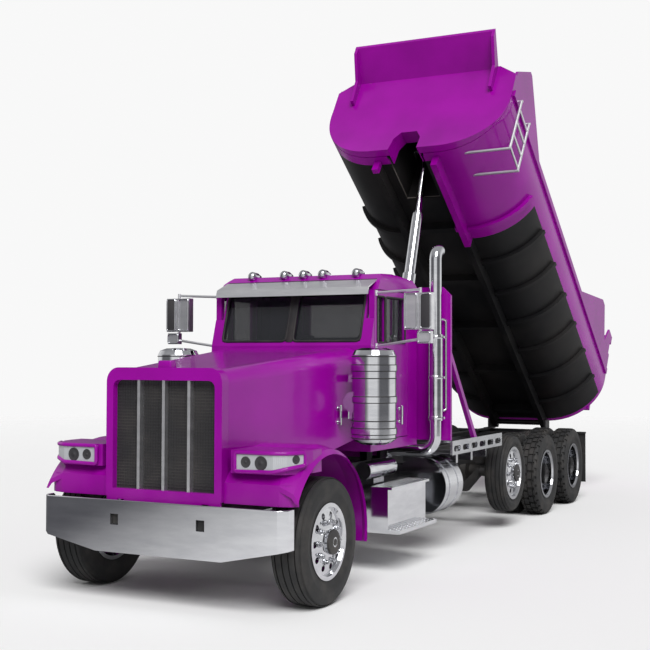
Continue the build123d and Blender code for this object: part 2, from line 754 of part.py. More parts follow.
with BuildPart() as grille_shell:
    extrude(hood_section(hood_front, GRILLE_Y, HOOD_TOP, 880, 120), amount=100)
    extrude(hood_section(hood_front - 5, 505, 1855, 945, 60), amount=120, mode=Mode.SUBTRACT)
    block((grille_x - 18, grille_x), (10 - GRILLE_Y, GRILLE_Y - 10), (822, 881))
    for name, side in SIDES:
        block((grille_x - 19, grille_x + 1), (side * 385, side * 455), (821, 856), Mode.SUBTRACT)
        block((PIVOT_X - 18, PIVOT_X + 18), (side * 426, side * 444), (HOOD_PIVOT_Z - 18, 881))
        near, far = sorted((side * 398, side * 430))
        rod((PIVOT_X, near, HOOD_PIVOT_Z), (PIVOT_X, far, HOOD_PIVOT_Z), 12)
save(grille_shell.part, "grille_shell")

with BuildPart() as grille_screen:
    extrude(hood_section(hood_front + 10, 505, 1855, 945, 60), amount=25)
save(grille_screen.part, "grille_screen")

with BuildPart() as grille_bars:
    for y in (-250, 0, 250):
        block((hood_front + 35, grille_x - 10), (y - 14, y + 14), (945, 1855))
save(grille_bars.part, "grille_bars")

with BuildPart() as headlamps:
    for name, side in SIDES:
        plan(LENS, side, LAMP_LOW + 15, LAMP_TOP - 15)
        slab(
            cross_plane(AXLE_X + 380),
            (
                (side * 600, LAMP_LOW), (side * 1260, LAMP_LOW), (side * 1260, LAMP_LOW + 80),
                (side * 1030, LAMP_LOW + 22), (side * 600, LAMP_LOW + 14),
            ),
            300,
            Mode.SUBTRACT,
        )
save(headlamps.part, "headlamps")

# Air cleaners: banded cans on brackets at the cowl
with BuildPart() as cleaners:
    x = AXLE_X - CLEANER_BACK
    for name, side in SIDES:
        with BuildSketch(Plane((x, side * CLEANER_Y, 0), x_dir=(1, 0, 0), z_dir=(0, -1, 0))) as section:
            with BuildLine():
                Polyline(*((radius, height) for height, radius in CAN), close=True)
            make_face()
        revolve(section.sketch, axis=Axis((x, side * CLEANER_Y, 0), (0, 0, 1)))
        for low in (1480, 1820):
            block((cab_x, x), (side * (CAB_Y - 80), side * 960), (low, low + 70))
        rod((x, side * (CLEANER_Y - 150), 1640), (x + 150, side * (CLEANER_Y - 150), 1640), 95)
save(cleaners.part, "air_cleaners")

# Exhaust stack with its curved tip, elbow and heat shield
with BuildPart() as stack:
    x = AXLE_X - STACK_BACK
    with BuildLine() as path:
        Polyline((x, 560, 1080), (x, STACK_Y - 160, 1080))
        ThreePointArc(
            (x, STACK_Y - 160, 1080), (x, STACK_Y - 47, 1127), (x, STACK_Y, 1240)
        )
        Line((x, STACK_Y, 1240), (x, STACK_Y, STACK_TOP))
        ThreePointArc(
            (x, STACK_Y, STACK_TOP),
            (x - 30, STACK_Y, STACK_TOP + 72),
            (x - 102, STACK_Y, STACK_TOP + 102),
        )
    with BuildSketch(Plane((x, 560, 1080), z_dir=(0, 1, 0))) as tube:
        Circle(STACK_R)
    sweep(tube.sketch, path=path.line)
    block((x - 60, x + 60), (RAIL_Y + 8, 561), (1010, 1150))
    block((x - 60, x + 60), (RAIL_Y - 60, 561), (FRAME_TOP, 1012))
    rod((x, STACK_Y, 1400), (x, STACK_Y, 2300), STACK_R + 14)
save(stack.part, "exhaust_stack")

# Fuel tanks with their straps, and the step boxes ahead of them
with BuildPart() as tanks:
    x = AXLE_X - TANK_BACK
    for name, side in SIDES:
        rod((x, side * TANK_Y, 700), (x - TANK_L, side * TANK_Y, 700), TANK_R)
        for start in (110, 360):
            rod((x - start, side * TANK_Y, 700), (x - start - 50, side * TANK_Y, 700), TANK_R + 8)
            block((x - start - 50, x - start), (side * RAIL_Y, side * (TANK_Y - 200)), (760, 900))
save(tanks.part, "fuel_tanks")

with BuildPart() as steps:
    x = AXLE_X - STEP_BACK
    for name, side in SIDES:
        block((x - STEP_L, x), (side * 620, side * 1090), (420, 800))
        block((x - STEP_L, x), (side * 620, side * 1210), (385, 421))
        block((x - STEP_L, x), (side * 900, side * 1130), (799, 822))
        for start in (150, 700):
            block((x - start - 90, x - start), (side * RAIL_Y, side * 621), (730, 790))
        rod((x - 60, side * 800, 960), (x - STEP_L + 250, side * 800, 960), 85)
        block((x - 420, x - 180), (side * 740, side * 860), (799, 880))
save(steps.part, "step_boxes")

# Headache rack behind the cab, braced down to the side decks
rack_x = AXLE_X - RACK_BACK
with BuildPart() as rack:
    slab(
        cross_plane(rack_x - RACK_T),
        (
            (-RACK_Y, 1190), (RACK_Y, 1190), (RACK_Y, RACK_TOP - 90), (RACK_Y - 90, RACK_TOP),
            (90 - RACK_Y, RACK_TOP), (-RACK_Y, RACK_TOP - 90),
        ),
        RACK_T,
    )
    block((rack_x - RACK_T - 20, rack_x + 20), (-RAIL_Y, RAIL_Y), (FRAME_TOP, 1191))
    block((rack_x - RACK_T - 5, rack_x + 5), (-450, 450), (2200, 2660), Mode.SUBTRACT)
    for name, side in SIDES:
        near, far = sorted((side * 1170, side * 1215))
        slab(
            side_plane(far),
            (
                (rack_x - RACK_T + 1, 2040), (rack_x - RACK_T + 1, 2130), (rack_x - BRACE_L, DECK_TOP),
                (rack_x - BRACE_L + 80, DECK_TOP),
            ),
            far - near,
        )
save(rack.part, "headache_rack")

with BuildPart() as decks:
    deck_x = rack_x - RACK_T - 30
    for name, side in SIDES:
        block((deck_x - DECK_L, deck_x), (side * 1000, side * 1215), (DECK_TOP - 20, DECK_TOP))
        block((deck_x - DECK_L, deck_x), (side * 1190, side * 1215), (DECK_TOP - 150, DECK_TOP))
        slots_plane = Plane(
            (deck_x - DECK_L / 2, side * 1170, DECK_TOP - 85),
            x_dir=(1, 0, 0),
            z_dir=(0, side, 0),
        )
        with BuildSketch(slots_plane) as slots:
            with GridLocations(270, 1, 6, 1):
                SlotOverall(200, 60)
        extrude(slots.sketch, amount=80, mode=Mode.SUBTRACT)
        for start in (520, 1000, 1500):
            block((deck_x - start - 60, deck_x - start), (side * RAIL_Y, side * 1060), (900, 960))
            block((deck_x - start - 60, deck_x - start), (side * 1000, side * 1060), (900, DECK_TOP - 19))
save(decks.part, "side_decks")

# Mud flaps and tail lamps
with BuildPart() as flaps:
    x = DRIVE_X - TANDEM_PITCH - 640
    for name, side in SIDES:
        block((x - 12, x), (side * 610, side * 1215), (240, 950))
        block((x - 40, x + 20), (side * RAIL_Y, side * 1215), (949, 975))
save(flaps.part, "mud_flaps")

with BuildPart() as tail_lamps:
    x = rail_back + 150
    for name, side in SIDES:
        block((x - 60, x), (side * (RAIL_Y + 36), side * 900), (770, 870))
save(tail_lamps.part, "tail_lamps")

# Hoist: barrel on its trunnion and four telescopic stages
eye_x = HINGE_X + HOIST_EYE_U * cos(BED_TURN) - HOIST_EYE_W * sin(BED_TURN)
eye_z = HINGE_Z + HOIST_EYE_U * sin(BED_TURN) + HOIST_EYE_W * cos(BED_TURN)
low_x, low_z = bed_at(HOIST_EYE_U, HOIST_EYE_W)
HOIST_LONG = hypot(eye_x - hoist_x, eye_z - HOIST_Z)
HOIST_SHORT = hypot(low_x - hoist_x, low_z - HOIST_Z)
HOIST_LEAN = degrees(atan2(hoist_x - eye_x, eye_z - HOIST_Z))
HOIST_LOW_LEAN = degrees(atan2(hoist_x - low_x, low_z - HOIST_Z))
STAGE_OUT = (HOIST_LONG - HOIST_SHORT) / STAGES
HOIST_AXIS = Axis((hoist_x, 0, HOIST_Z), (0, -1, 0))
collar = HOIST_Z + HOIST_SHORT - 110
with BuildPart() as barrel:
    rod((hoist_x, 0, HOIST_Z - 70), (hoist_x, 0, collar), HOIST_R)
    rod((hoist_x, 0, HOIST_Z - 50), (hoist_x, 0, collar + 10), HOIST_R - HOIST_STEP + 1.5, Mode.SUBTRACT)
    rod((hoist_x, -199, HOIST_Z), (hoist_x, -HOIST_R + 4, HOIST_Z), 34)
    rod((hoist_x, HOIST_R - 4, HOIST_Z), (hoist_x, 199, HOIST_Z), 34)
save(barrel.part.rotate(HOIST_AXIS, HOIST_LEAN), "hoist_barrel")
for stage in range(1, STAGES + 1):
    radius = HOIST_R - HOIST_STEP * stage + 1
    foot = HOIST_Z - 50 + stage * (STAGE_OUT + 8)
    top = collar + stage * (STAGE_OUT + 8)
    with BuildPart() as tube:
        if stage < STAGES:
            rod((hoist_x, 0, foot), (hoist_x, 0, top), radius)
            rod((hoist_x, 0, foot + 4), (hoist_x, 0, top + 5), radius - HOIST_STEP + 0.5, Mode.SUBTRACT)
        else:
            eye = HOIST_Z + HOIST_LONG
            rod((hoist_x, 0, foot), (hoist_x, 0, eye), radius)
            rod((hoist_x, -60, eye), (hoist_x, 60, eye), 58)
            rod((hoist_x, -122, eye), (hoist_x, 122, eye), 34)
    save(tube.part.rotate(HOIST_AXIS, HOIST_LEAN), f"hoist_stage_{stage}")

# Bed tub: round belly, upright rails and the raised wings at both ends
belly_z = HINGE_Z + FLOOR_W - BED_T
arc_z = belly_z + BELLY_R
flat_y = BED_Y - BELLY_R
wall_z = HINGE_Z + WALL_W
bulk_slope = BULK_LEAN / (BULK_W - FLOOR_W + BED_T)
bulk_x = HINGE_X + BED_L
DOG_U = HOIST_EYE_U - 290


def tub_outline(plane, shrink, top):
    radius = BELLY_R - shrink
    turn = radius * cos(radians(45))
    low = belly_z + shrink
    with BuildSketch(plane) as outline:
        with BuildLine():
            Line((-BED_Y + shrink, top), (-BED_Y + shrink, arc_z))
            ThreePointArc((-BED_Y + shrink, arc_z), (-flat_y - turn, arc_z - turn), (-flat_y, low))
            Line((-flat_y, low), (flat_y, low))
            ThreePointArc((flat_y, low), (flat_y + turn, arc_z - turn), (BED_Y - shrink, arc_z))
            Line((BED_Y - shrink, arc_z), (BED_Y - shrink, top))
            Line((BED_Y - shrink, top), (-BED_Y + shrink, top))
        make_face()
    return outline.sketch


def front_line(w, ahead):
    return bulk_x + bulk_slope * (w - FLOOR_W + BED_T) + ahead


with BuildPart() as tub:
    extrude(tub_outline(cross_plane(HINGE_X), 0, wall_z), amount=BED_L + BULK_LEAN)
    hollow = tub_outline(cross_plane(HINGE_X - 5), BED_T, wall_z + 10)
    extrude(hollow, amount=BED_L + BULK_LEAN + 20, mode=Mode.SUBTRACT)
    for name, side in SIDES:
        block(
            (HINGE_X, bulk_x + BULK_LEAN),
            (side * (BED_Y - BED_T), side * (BED_Y + 28)),
            (wall_z - 70, wall_z + 20),
        )
        near, far = sorted((side * (BED_Y - BED_T), side * BED_Y))
        front = [
            (BED_L - 1390, WALL_W), (BED_L - 400, WING_W), (BED_L - 330, WING_W),
            (BED_L + BULK_LEAN, BULK_W - 140), (BED_L + BULK_LEAN, WALL_W),
        ]
        rear = [
            (2000, WALL_W), (760, WING_W + 60), (620, WING_W + 60),
            (330, WALL_W + 360), (0, WALL_W + 360), (0, WALL_W),
        ]
        for points in (front, rear):
            slab(side_plane(far), tuple(bed_at(u, w) for u, w in points), far - near)
    slab(
        side_plane(BED_Y + 50),
        (
            (front_line(0, -BULK_T), HINGE_Z), (front_line(0, 600), HINGE_Z),
            (front_line(2000, 600), HINGE_Z + 2000), (front_line(2000, -BULK_T), HINGE_Z + 2000),
        ),
        2 * BED_Y + 100,
        Mode.SUBTRACT,
    )
    block(
        (HINGE_X + DOG_U, bulk_x + 200),
        (-DOG_Y, DOG_Y),
        (belly_z - 10, belly_z + BED_T + 10),
        Mode.SUBTRACT,
    )
    for name, side in SIDES:
        block(
            (HINGE_X - 75, HINGE_X + 140), (side * (BED_Y - BED_T), side * BED_Y),
            (HINGE_Z + GATE_TOP_W - 140, HINGE_Z + GATE_TOP_W),
        )
        slab(
            side_plane(max(side * (BED_Y - BED_T), side * BED_Y)),
            tuple(bed_at(u, w) for u, w in (
                (0, WALL_W + 300), (330, WALL_W + 300), (140, GATE_TOP_W - 1), (0, GATE_TOP_W - 1),
            )),
            BED_T,
        )
        rod(
            (HINGE_X - 35, side * (BED_Y - BED_T - 5), HINGE_Z + GATE_TOP_W - 70),
            (HINGE_X - 35, side * (BED_Y + 5), HINGE_Z + GATE_TOP_W - 70), 25 + RUN_GAP, Mode.SUBTRACT,
        )
save(raised(tub.part), "bed_tub")

# Bulkhead with the hoist recess, and the cab shield on top of it
with BuildPart() as bulkhead:
    slab(
        side_plane(BED_Y + 10),
        (
            (front_line(FLOOR_W - BED_T, -BULK_T), belly_z), (front_line(FLOOR_W - BED_T, 0), belly_z),
            (front_line(BULK_W, 0), HINGE_Z + BULK_W), (front_line(BULK_W, -BULK_T), HINGE_Z + BULK_W),
        ),
        2 * BED_Y + 20,
    )
    outline = tub_outline(cross_plane(bulk_x - 200), 0, HINGE_Z + BULK_W)
    extrude(outline, amount=600, mode=Mode.INTERSECT)
    for name, side in SIDES:
        slab(
            cross_plane(bulk_x - 200),
            (
                (side * (BED_Y + 5), HINGE_Z + BULK_W - 170), (side * (BED_Y + 5), HINGE_Z + BULK_W + 5),
                (side * (SHIELD_Y + 20), HINGE_Z + BULK_W + 5),
            ),
            600,
            Mode.SUBTRACT,
        )
    floor_z = belly_z + BED_T
    slab(
        side_plane(DOG_Y + 20),
        (
            (HINGE_X + DOG_U - 20, floor_z), (front_line(FLOOR_W, -BULK_T + 1), floor_z),
            (front_line(DOG_W + 20, -BULK_T + 1), HINGE_Z + DOG_W + 20),
            (HINGE_X + DOG_U - 20, HINGE_Z + DOG_W + 20),
        ),
        2 * DOG_Y + 40,
    )
    block(
        (HINGE_X + DOG_U, bulk_x + 300),
        (-DOG_Y, DOG_Y),
        (belly_z - 10, HINGE_Z + DOG_W),
        Mode.SUBTRACT,
    )
    for name, side in SIDES:
        block(
            (HINGE_X + HOIST_EYE_U - 60, HINGE_X + HOIST_EYE_U + 60), (side * 132, side * 152),
            (HINGE_Z + HOIST_EYE_W - 70, HINGE_Z + DOG_W + 1),
        )
    tip = bulk_x + BULK_LEAN + SHIELD_L
    slab(
        side_plane(SHIELD_Y),
        (
            (front_line(BULK_W - 40, -1), HINGE_Z + BULK_W - 40), (tip, HINGE_Z + BULK_W + SHIELD_RISE - 40),
            (tip, HINGE_Z + BULK_W + SHIELD_RISE), (front_line(BULK_W, -1), HINGE_Z + BULK_W),
        ),
        2 * SHIELD_Y,
    )
    for name, side in SIDES:
        near, far = sorted((side * (SHIELD_Y - 40), side * SHIELD_Y))
        slab(
            side_plane(far),
            (
                (front_line(BULK_W - 420, -1), HINGE_Z + BULK_W - 420),
                (front_line(BULK_W - 420, 80), HINGE_Z + BULK_W - 420),
                (front_line(BULK_W - 90, 105), HINGE_Z + BULK_W - 90),
                (tip - 10, HINGE_Z + BULK_W + SHIELD_RISE - 125),
                (tip, HINGE_Z + BULK_W + SHIELD_RISE - 1), (front_line(BULK_W, -1), HINGE_Z + BULK_W),
            ),
            far - near,
        )
save(raised(bulkhead.part), "bed_bulkhead")

# Sills, cross members and the short ribs outside them
with BuildPart() as sills:
    sill_low = belly_z - SILL_H
    for name, side in SIDES:
        block(
            (HINGE_X - 60, bulk_x - 60),
            (side * (SILL_Y - SILL_T / 2), side * (SILL_Y + SILL_T / 2)),
            (sill_low, belly_z),
        )
    for u in (350, 1400, 2450, 3500, 4550):
        block((HINGE_X + u - 40, HINGE_X + u + 40), (-SILL_Y, SILL_Y), (sill_low + 40, belly_z))
    for u in (500, 1160, 1820, 2480, 3140, 3800, 4460):
        for name, side in SIDES:
            with BuildSketch(cross_plane(HINGE_X + u - 30)) as rib:
                with BuildLine():
                    edge = []
                    for radius in (BELLY_R, BELLY_R + 55):
                        spots = []
                        for turn in (-90, -56, -22):
                            spots.append(
                                (
                                    side * (flat_y + radius * cos(radians(turn))),
                                    arc_z + radius * sin(radians(turn)),
                                ),
                            )
                        edge.append(spots)
                    ThreePointArc(*edge[0])
                    Line(edge[0][2], edge[1][2])
                    ThreePointArc(*edge[1])
                    Line(edge[1][0], edge[0][0])
                make_face()
            extrude(rib.sketch, amount=60)
    rod((HINGE_X, -600, HINGE_Z), (HINGE_X, 600, HINGE_Z), PIN_R + RUN_GAP, Mode.SUBTRACT)
save(raised(sills.part), "bed_sills")

# Ladder on the left flank, its stiles bent in to the belly
LADDER_U = (BED_L - 500, BED_L - 120)
with BuildPart() as ladder:
    out = BED_Y + 70
    for u in LADDER_U:
        x = HINGE_X + u
        rod((x, out, HINGE_Z + LADDER_LOW), (x, out, HINGE_Z + WALL_W - 30), 17)
        rod((x, BED_Y + 28.7, HINGE_Z + WALL_W - 30), (x, out + 17, HINGE_Z + WALL_W - 30), 17)
        rod((x, out + 17, HINGE_Z + LADDER_LOW), (x, SILL_Y + 60, HINGE_Z + LADDER_LOW - 25), 17)
    for w in (205, 420, 635, 850):
        rod((HINGE_X + LADDER_U[0], out, HINGE_Z + w), (HINGE_X + LADDER_U[1], out, HINGE_Z + w), 14)
    extrude(tub_outline(cross_plane(HINGE_X), -0.7, wall_z), amount=BED_L, mode=Mode.SUBTRACT)
save(raised(ladder.part), "bed_ladder")

# Tailgate with its stiffeners and hinge stubs
with BuildPart() as gate:
    outline = tub_outline(cross_plane(HINGE_X - GATE_T), 4, HINGE_Z + WALL_W + 350)
    extrude(outline, amount=GATE_T - 6)
    block(
        (HINGE_X - GATE_T, HINGE_X - 6), (-BED_Y + BED_T + 10, BED_Y - BED_T - 10),
        (HINGE_Z + WALL_W + 340, HINGE_Z + GATE_TOP_W),
    )
    for w in (330, 760, 1180):
        block(
            (HINGE_X - GATE_T - 50, HINGE_X - GATE_T + 1),
            (-BED_Y + 180, BED_Y - 180),
            (HINGE_Z + w, HINGE_Z + w + 90),
        )
    for y in (-700, 0, 700):
        block(
            (HINGE_X - GATE_T - 45, HINGE_X - GATE_T + 1),
            (y - 40, y + 40),
            (HINGE_Z + 180, HINGE_Z + GATE_TOP_W - 200),
        )
    for name, side in SIDES:
        near = side * (BED_Y - BED_T - 20)
        rod(
            (HINGE_X - 35, near, HINGE_Z + GATE_TOP_W - 70),
            (HINGE_X - 35, side * BED_Y, HINGE_Z + GATE_TOP_W - 70),
            25,
        )
    block(
        (HINGE_X - GATE_T - GATE_LIP, HINGE_X - GATE_T + 1), (-BED_Y + BED_T + 10, BED_Y - BED_T - 10),
        (HINGE_Z + GATE_TOP_W - 60, HINGE_Z + GATE_TOP_W),
    )
save(raised(gate.part), "tailgate")
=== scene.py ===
import json
import math
import bpy
from mathutils import Matrix, Vector


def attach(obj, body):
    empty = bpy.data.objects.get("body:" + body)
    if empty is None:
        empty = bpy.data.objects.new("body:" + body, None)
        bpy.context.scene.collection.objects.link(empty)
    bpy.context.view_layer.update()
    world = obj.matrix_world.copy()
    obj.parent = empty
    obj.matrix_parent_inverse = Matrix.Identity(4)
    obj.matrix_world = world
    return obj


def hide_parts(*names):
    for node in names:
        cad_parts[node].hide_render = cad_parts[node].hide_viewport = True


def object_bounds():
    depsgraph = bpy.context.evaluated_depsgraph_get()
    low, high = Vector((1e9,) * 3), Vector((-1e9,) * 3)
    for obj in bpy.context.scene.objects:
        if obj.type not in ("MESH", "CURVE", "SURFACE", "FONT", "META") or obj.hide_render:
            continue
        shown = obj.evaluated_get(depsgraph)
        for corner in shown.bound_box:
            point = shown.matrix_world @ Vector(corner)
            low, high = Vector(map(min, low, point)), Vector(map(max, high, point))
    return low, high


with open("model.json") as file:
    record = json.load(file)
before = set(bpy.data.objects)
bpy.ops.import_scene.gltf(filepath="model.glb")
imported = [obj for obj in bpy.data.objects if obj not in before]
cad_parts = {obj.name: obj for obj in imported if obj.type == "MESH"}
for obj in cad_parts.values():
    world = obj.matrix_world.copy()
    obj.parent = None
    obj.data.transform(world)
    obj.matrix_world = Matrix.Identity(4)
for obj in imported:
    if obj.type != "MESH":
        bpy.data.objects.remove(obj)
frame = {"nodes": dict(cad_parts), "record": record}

cadLow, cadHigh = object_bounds()
nodes = frame["nodes"]
print("frame loaded:", len(nodes), "nodes")

camera = {
    "place": (13.306, 5.496, 2.024),
    "yaw": 26.85,        # degrees from straight back, towards the right side
    "rise": 1.76,
    "roll": 0.18,
    "lens": 63.76,
}
light = {
    "sky": 0.30,
    "key": 3.0,
    "keyAim": (-0.80, -0.55, -1.0),
    "keyWidth": 36,
    "backdrop": (0.94, 0.94, 0.94, 1),   # what the camera sees
    "flag": (0.16, 0.16, 0.17, 1),       # dark flags that only metal and gloss see
    "flagTurns": 3.0, "flagStart": 0.6, "flagEdge": (-0.3, 0.5),
    "overhead": (0.42, 0.42, 0.43, 1), "overheadFrom": (0.25, 0.65),
    "floorRadius": 60.0, "floorFade": (10.0, 30.0),
    "floorTint": (0.90, 0.90, 0.90, 1),
    "floorDark": (0.10, 0.10, 0.11, 1),  # one side of the floor, as metal and gloss see it
    "floorLean": 0.35, "floorEdge": (-0.6, 2.4),
}


class Wire:
    # a socket that takes part in sums
    def __init__(self, finish, socket):
        self.finish, self.socket = finish, socket

    def sum(self, operation, first, second):
        return self.finish.node("ShaderNodeMath", {"operation": operation}, {0: first, 1: second})

    def __add__(self, other):
        return self.sum("ADD", self, other)

    def __radd__(self, other):
        return self.sum("ADD", other, self)

    def __sub__(self, other):
        return self.sum("SUBTRACT", self, other)

    def __rsub__(self, other):
        return self.sum("SUBTRACT", other, self)

    def __mul__(self, other):
        return self.sum("MULTIPLY", self, other)

    def __gt__(self, other):
        return self.sum("GREATER_THAN", self, other)

    def __lt__(self, other):
        return self.sum("LESS_THAN", self, other)


class Finish:
    def __init__(self, name, world=None):
        self.material = world or bpy.data.materials.new(name)
        self.material.use_nodes = True
        self.tree = self.material.node_tree
        self.shader = self.tree.nodes["Background" if world else "Principled BSDF"]
        self.place = self.node("ShaderNodeTexCoord", out="Generated" if world else "Object")

    def feed(self, socket, value):
        if isinstance(value, Wire):
            self.tree.links.new(value.socket, socket)
        else:
            socket.default_value = value

    def node(self, kind, settings=None, sockets=None, out=0):
        made = self.tree.nodes.new(kind)
        for key, value in (settings or {}).items():
            setattr(made, key, value)
        for key, value in (sockets or {}).items():
            self.feed(made.inputs[key], value)
        return Wire(self, made.outputs[out])

    def noise(self, scale, detail=3.0, rough=0.55, stretch=None):
        where = self.place
        if stretch:
            where = self.node("ShaderNodeMapping", {}, {"Vector": where, "Scale": stretch})
        sockets = {"Vector": where, "Scale": scale, "Detail": detail, "Roughness": rough}
        return self.node("ShaderNodeTexNoise", {}, sockets)

    def ramp(self, value, low, high):
        sockets = {"Value": value, "From Min": low, "From Max": high}
        return self.node("ShaderNodeMapRange", {"clamp": True}, sockets)

    def blend(self, factor, first, second):
        # sockets 6, 7 and 2 are the colour ones
        return self.node("ShaderNodeMix", {"data_type": "RGBA"}, {0: factor, 6: first, 7: second}, out=2)

    def axis(self, index):
        return self.node("ShaderNodeSeparateXYZ", {}, {0: self.place}, out=index)

    def height(self):
        return self.axis(2)

    def plain(self, operation, value):
        return self.node("ShaderNodeMath", {"operation": operation}, {0: value})

    def most(self, first, second):
        return self.node("ShaderNodeMath", {"operation": "MAXIMUM"}, {0: first, 1: second})

    def bump(self, height, strength, distance):
        sockets = {"Height": height, "Strength": strength, "Distance": distance}
        return self.node("ShaderNodeBump", {}, sockets)

    def set(self, **sockets):
        for key, value in sockets.items():
            self.feed(self.shader.inputs[key.replace("_", " ")], value)
        return self.material


def rgb(red, green, blue):
    # a colour as a paint chart gives it, 0 to 255
    def linear(part):
        part = part / 255
        return part / 12.92 if part <= 0.04045 else ((part + 0.055) / 1.055) ** 2.4
    return (linear(red), linear(green), linear(blue), 1)


bedShape = {
    "hinge": (-4.37692, 1.06),
    "raise": math.radians(36),
    "flank": 0.42, "belly": 0.88, "skin": 0.785,   # round outline of the tub, its middle and its inner skin
    "shadeTo": 4.26, "shadeUp": 0.60,              # painted shade: black under the belly, along and up
    "shadeSide": 0.30, "shadeFront": 5.70,         # painted shade reaches further forward right of this line
    "dogY": 0.24, "dogBack": 5.05, "dogTop": 0.91,   # hoist's recess
}
cabSize = {"front": 3.25308, "back": 2.09308, "side": 0.90, "belt": 2.17, "glassTop": 2.69, "rake": 0.165,
           "screen": 0.778, "wall": 0.05, "roof": 2.83}


def bedPlaces(f):
    # along the bed from its hinge, and up from its floor
    x = f.axis(0) - bedShape["hinge"][0]
    z = f.height() - bedShape["hinge"][1]
    turn = bedShape["raise"]
    return x * math.cos(turn) + z * math.sin(turn), z * math.cos(turn) - x * math.sin(turn)


def tubZones(f):
    # painted shade: the outside of the belly made black low down, further forward on its middle and right; and
    # scraped steel where the load slides
    b = bedShape
    u, w = bedPlaces(f)
    across = f.most(f.plain("ABSOLUTE", f.axis(1)) - b["flank"], 0.0)
    down = f.most(b["belly"] - w, 0.0)
    skin = f.plain("SQRT", across * across + down * down)
    middle = f.axis(1) < b["shadeSide"]
    along = f.most(u < b["shadeTo"], middle) * (u < b["shadeFront"])
    # painted shade mask: the belly's outside, low down, made black
    shadedBelly = (skin > b["skin"]) * along * (w < b["shadeUp"])
    scrape = f.noise(5, 5, 0.7, (0.7, 4.0, 0.7))
    worn = f.ramp(scrape + (1.0 - w) * 0.45, 0.42, 0.66)
    return shadedBelly, (skin < b["skin"]) * (u > 0.03) * worn * f.ramp(w, 1.05, 0.80)


def bulkheadZones(f):
    # painted shade: dark inside of the hoist's recess
    u, w = bedPlaces(f)
    near = f.plain("ABSOLUTE", f.axis(1)) < bedShape["dogY"]
    return near * (w < bedShape["dogTop"]) * (u > bedShape["dogBack"]), None


def cabZones(f):
    # dark lining on the inside of the cab and its doors
    c = cabSize
    slope = c["rake"] / (c["glassTop"] + 0.03 - c["belt"])
    front = c["front"] - c["wall"] - f.most(f.height() - c["belt"], 0.0) * slope
    inside = (f.plain("ABSOLUTE", f.axis(1)) < c["side"] - c["wall"]) * (f.axis(0) > c["back"] + c["wall"])
    return inside * (f.axis(0) < front) * (f.height() < c["roof"]), None


def paintFinish(name, colour, shade, dust, zones=None):
    # coated enamel with a little road dust low down
    f = Finish(name)
    cloud = f.noise(1.1, 3)
    speck = f.noise(38, 2)
    low = f.ramp(f.height(), 1.5, 0.3)
    film = f.ramp(cloud, 0.42, 0.72) * low * dust
    tone = f.blend(f.ramp(cloud, 0.35, 0.65), shade, colour)
    tone = f.blend(film, tone, rgb(120, 104, 96))
    rough = 0.20 + speck * 0.05 + film * 0.4
    coat = 0.16
    if zones:
        dark, worn = zones(f)
        if worn:
            tone = f.blend(worn, tone, rgb(112, 106, 102))
            rough = rough + worn * 0.35
            coat = coat - worn * 0.15
        # black with a grey mottle where the dark mask is: painted shade on the bed's belly and in the hoist's
        # recess, the cab's own dark lining inside the cab
        grimeAndShadeMottle = f.ramp(cloud, 0.40, 0.75) * 0.3
        tone = f.blend(dark, tone, f.blend(grimeAndShadeMottle, rgb(20, 20, 22), rgb(70, 66, 63)))
        rough = rough + dark * 0.25
        coat = coat - dark * 0.15
    bump = f.bump(f.noise(260, 1), 0.03, 0.002)
    return f.set(Base_Color=tone, Roughness=rough, Normal=bump,
                 Coat_Weight=coat, Coat_Roughness=0.05, Specular_IOR_Level=0.20)


def brightFinish(name, colour, shade, rough):
    # plated metal with faint wiping marks
    f = Finish(name)
    smear = f.noise(3, 4, 0.6, (1.0, 1.0, 5.0))
    speck = f.noise(90, 2)
    tone = f.blend(f.ramp(smear, 0.35, 0.7), shade, colour)
    return f.set(Base_Color=tone, Metallic=1.0, Roughness=rough + smear * 0.05 + f.ramp(speck, 0.6, 0.8) * 0.03)


def ironFinish(name, colour, rough, dust):
    # satin black steel with grey dust on it
    f = Finish(name)
    cloud = f.noise(3.2, 5)
    grain = f.noise(120, 2)
    film = f.ramp(cloud, 0.45, 0.75) * dust
    tone = f.blend(film, colour, rgb(104, 98, 92))
    bump = f.bump(grain, 0.12, 0.002)
    return f.set(Base_Color=tone, Metallic=0.0, Roughness=rough + film * 0.3, Normal=bump)


def rubberFinish(name, colour):
    f = Finish(name)
    cloud = f.noise(5, 4)
    grain = f.noise(180, 2)
    film = f.ramp(cloud, 0.45, 0.7) * 0.22
    tone = f.blend(film, colour, rgb(96, 90, 84))
    return f.set(Base_Color=tone, Roughness=0.62 + grain * 0.2, Normal=f.bump(grain, 0.15, 0.002))


def glassFinish(name, tint, alpha):
    f = Finish(name)
    film = f.ramp(f.noise(2.2, 4), 0.5, 0.8)
    return f.set(Base_Color=tint, Roughness=0.03 + film * 0.06, Alpha=alpha + film * 0.06,
                 Specular_IOR_Level=0.6, Coat_Weight=0.3)


def lensFinish(name, colour, ribs):
    f = Finish(name)
    wave = f.plain("SINE", f.axis(1) * ribs)
    return f.set(Base_Color=colour, Roughness=0.08 + f.noise(30, 2) * 0.05,
                 Normal=f.bump(wave, 0.3, 0.002), Coat_Weight=0.6)


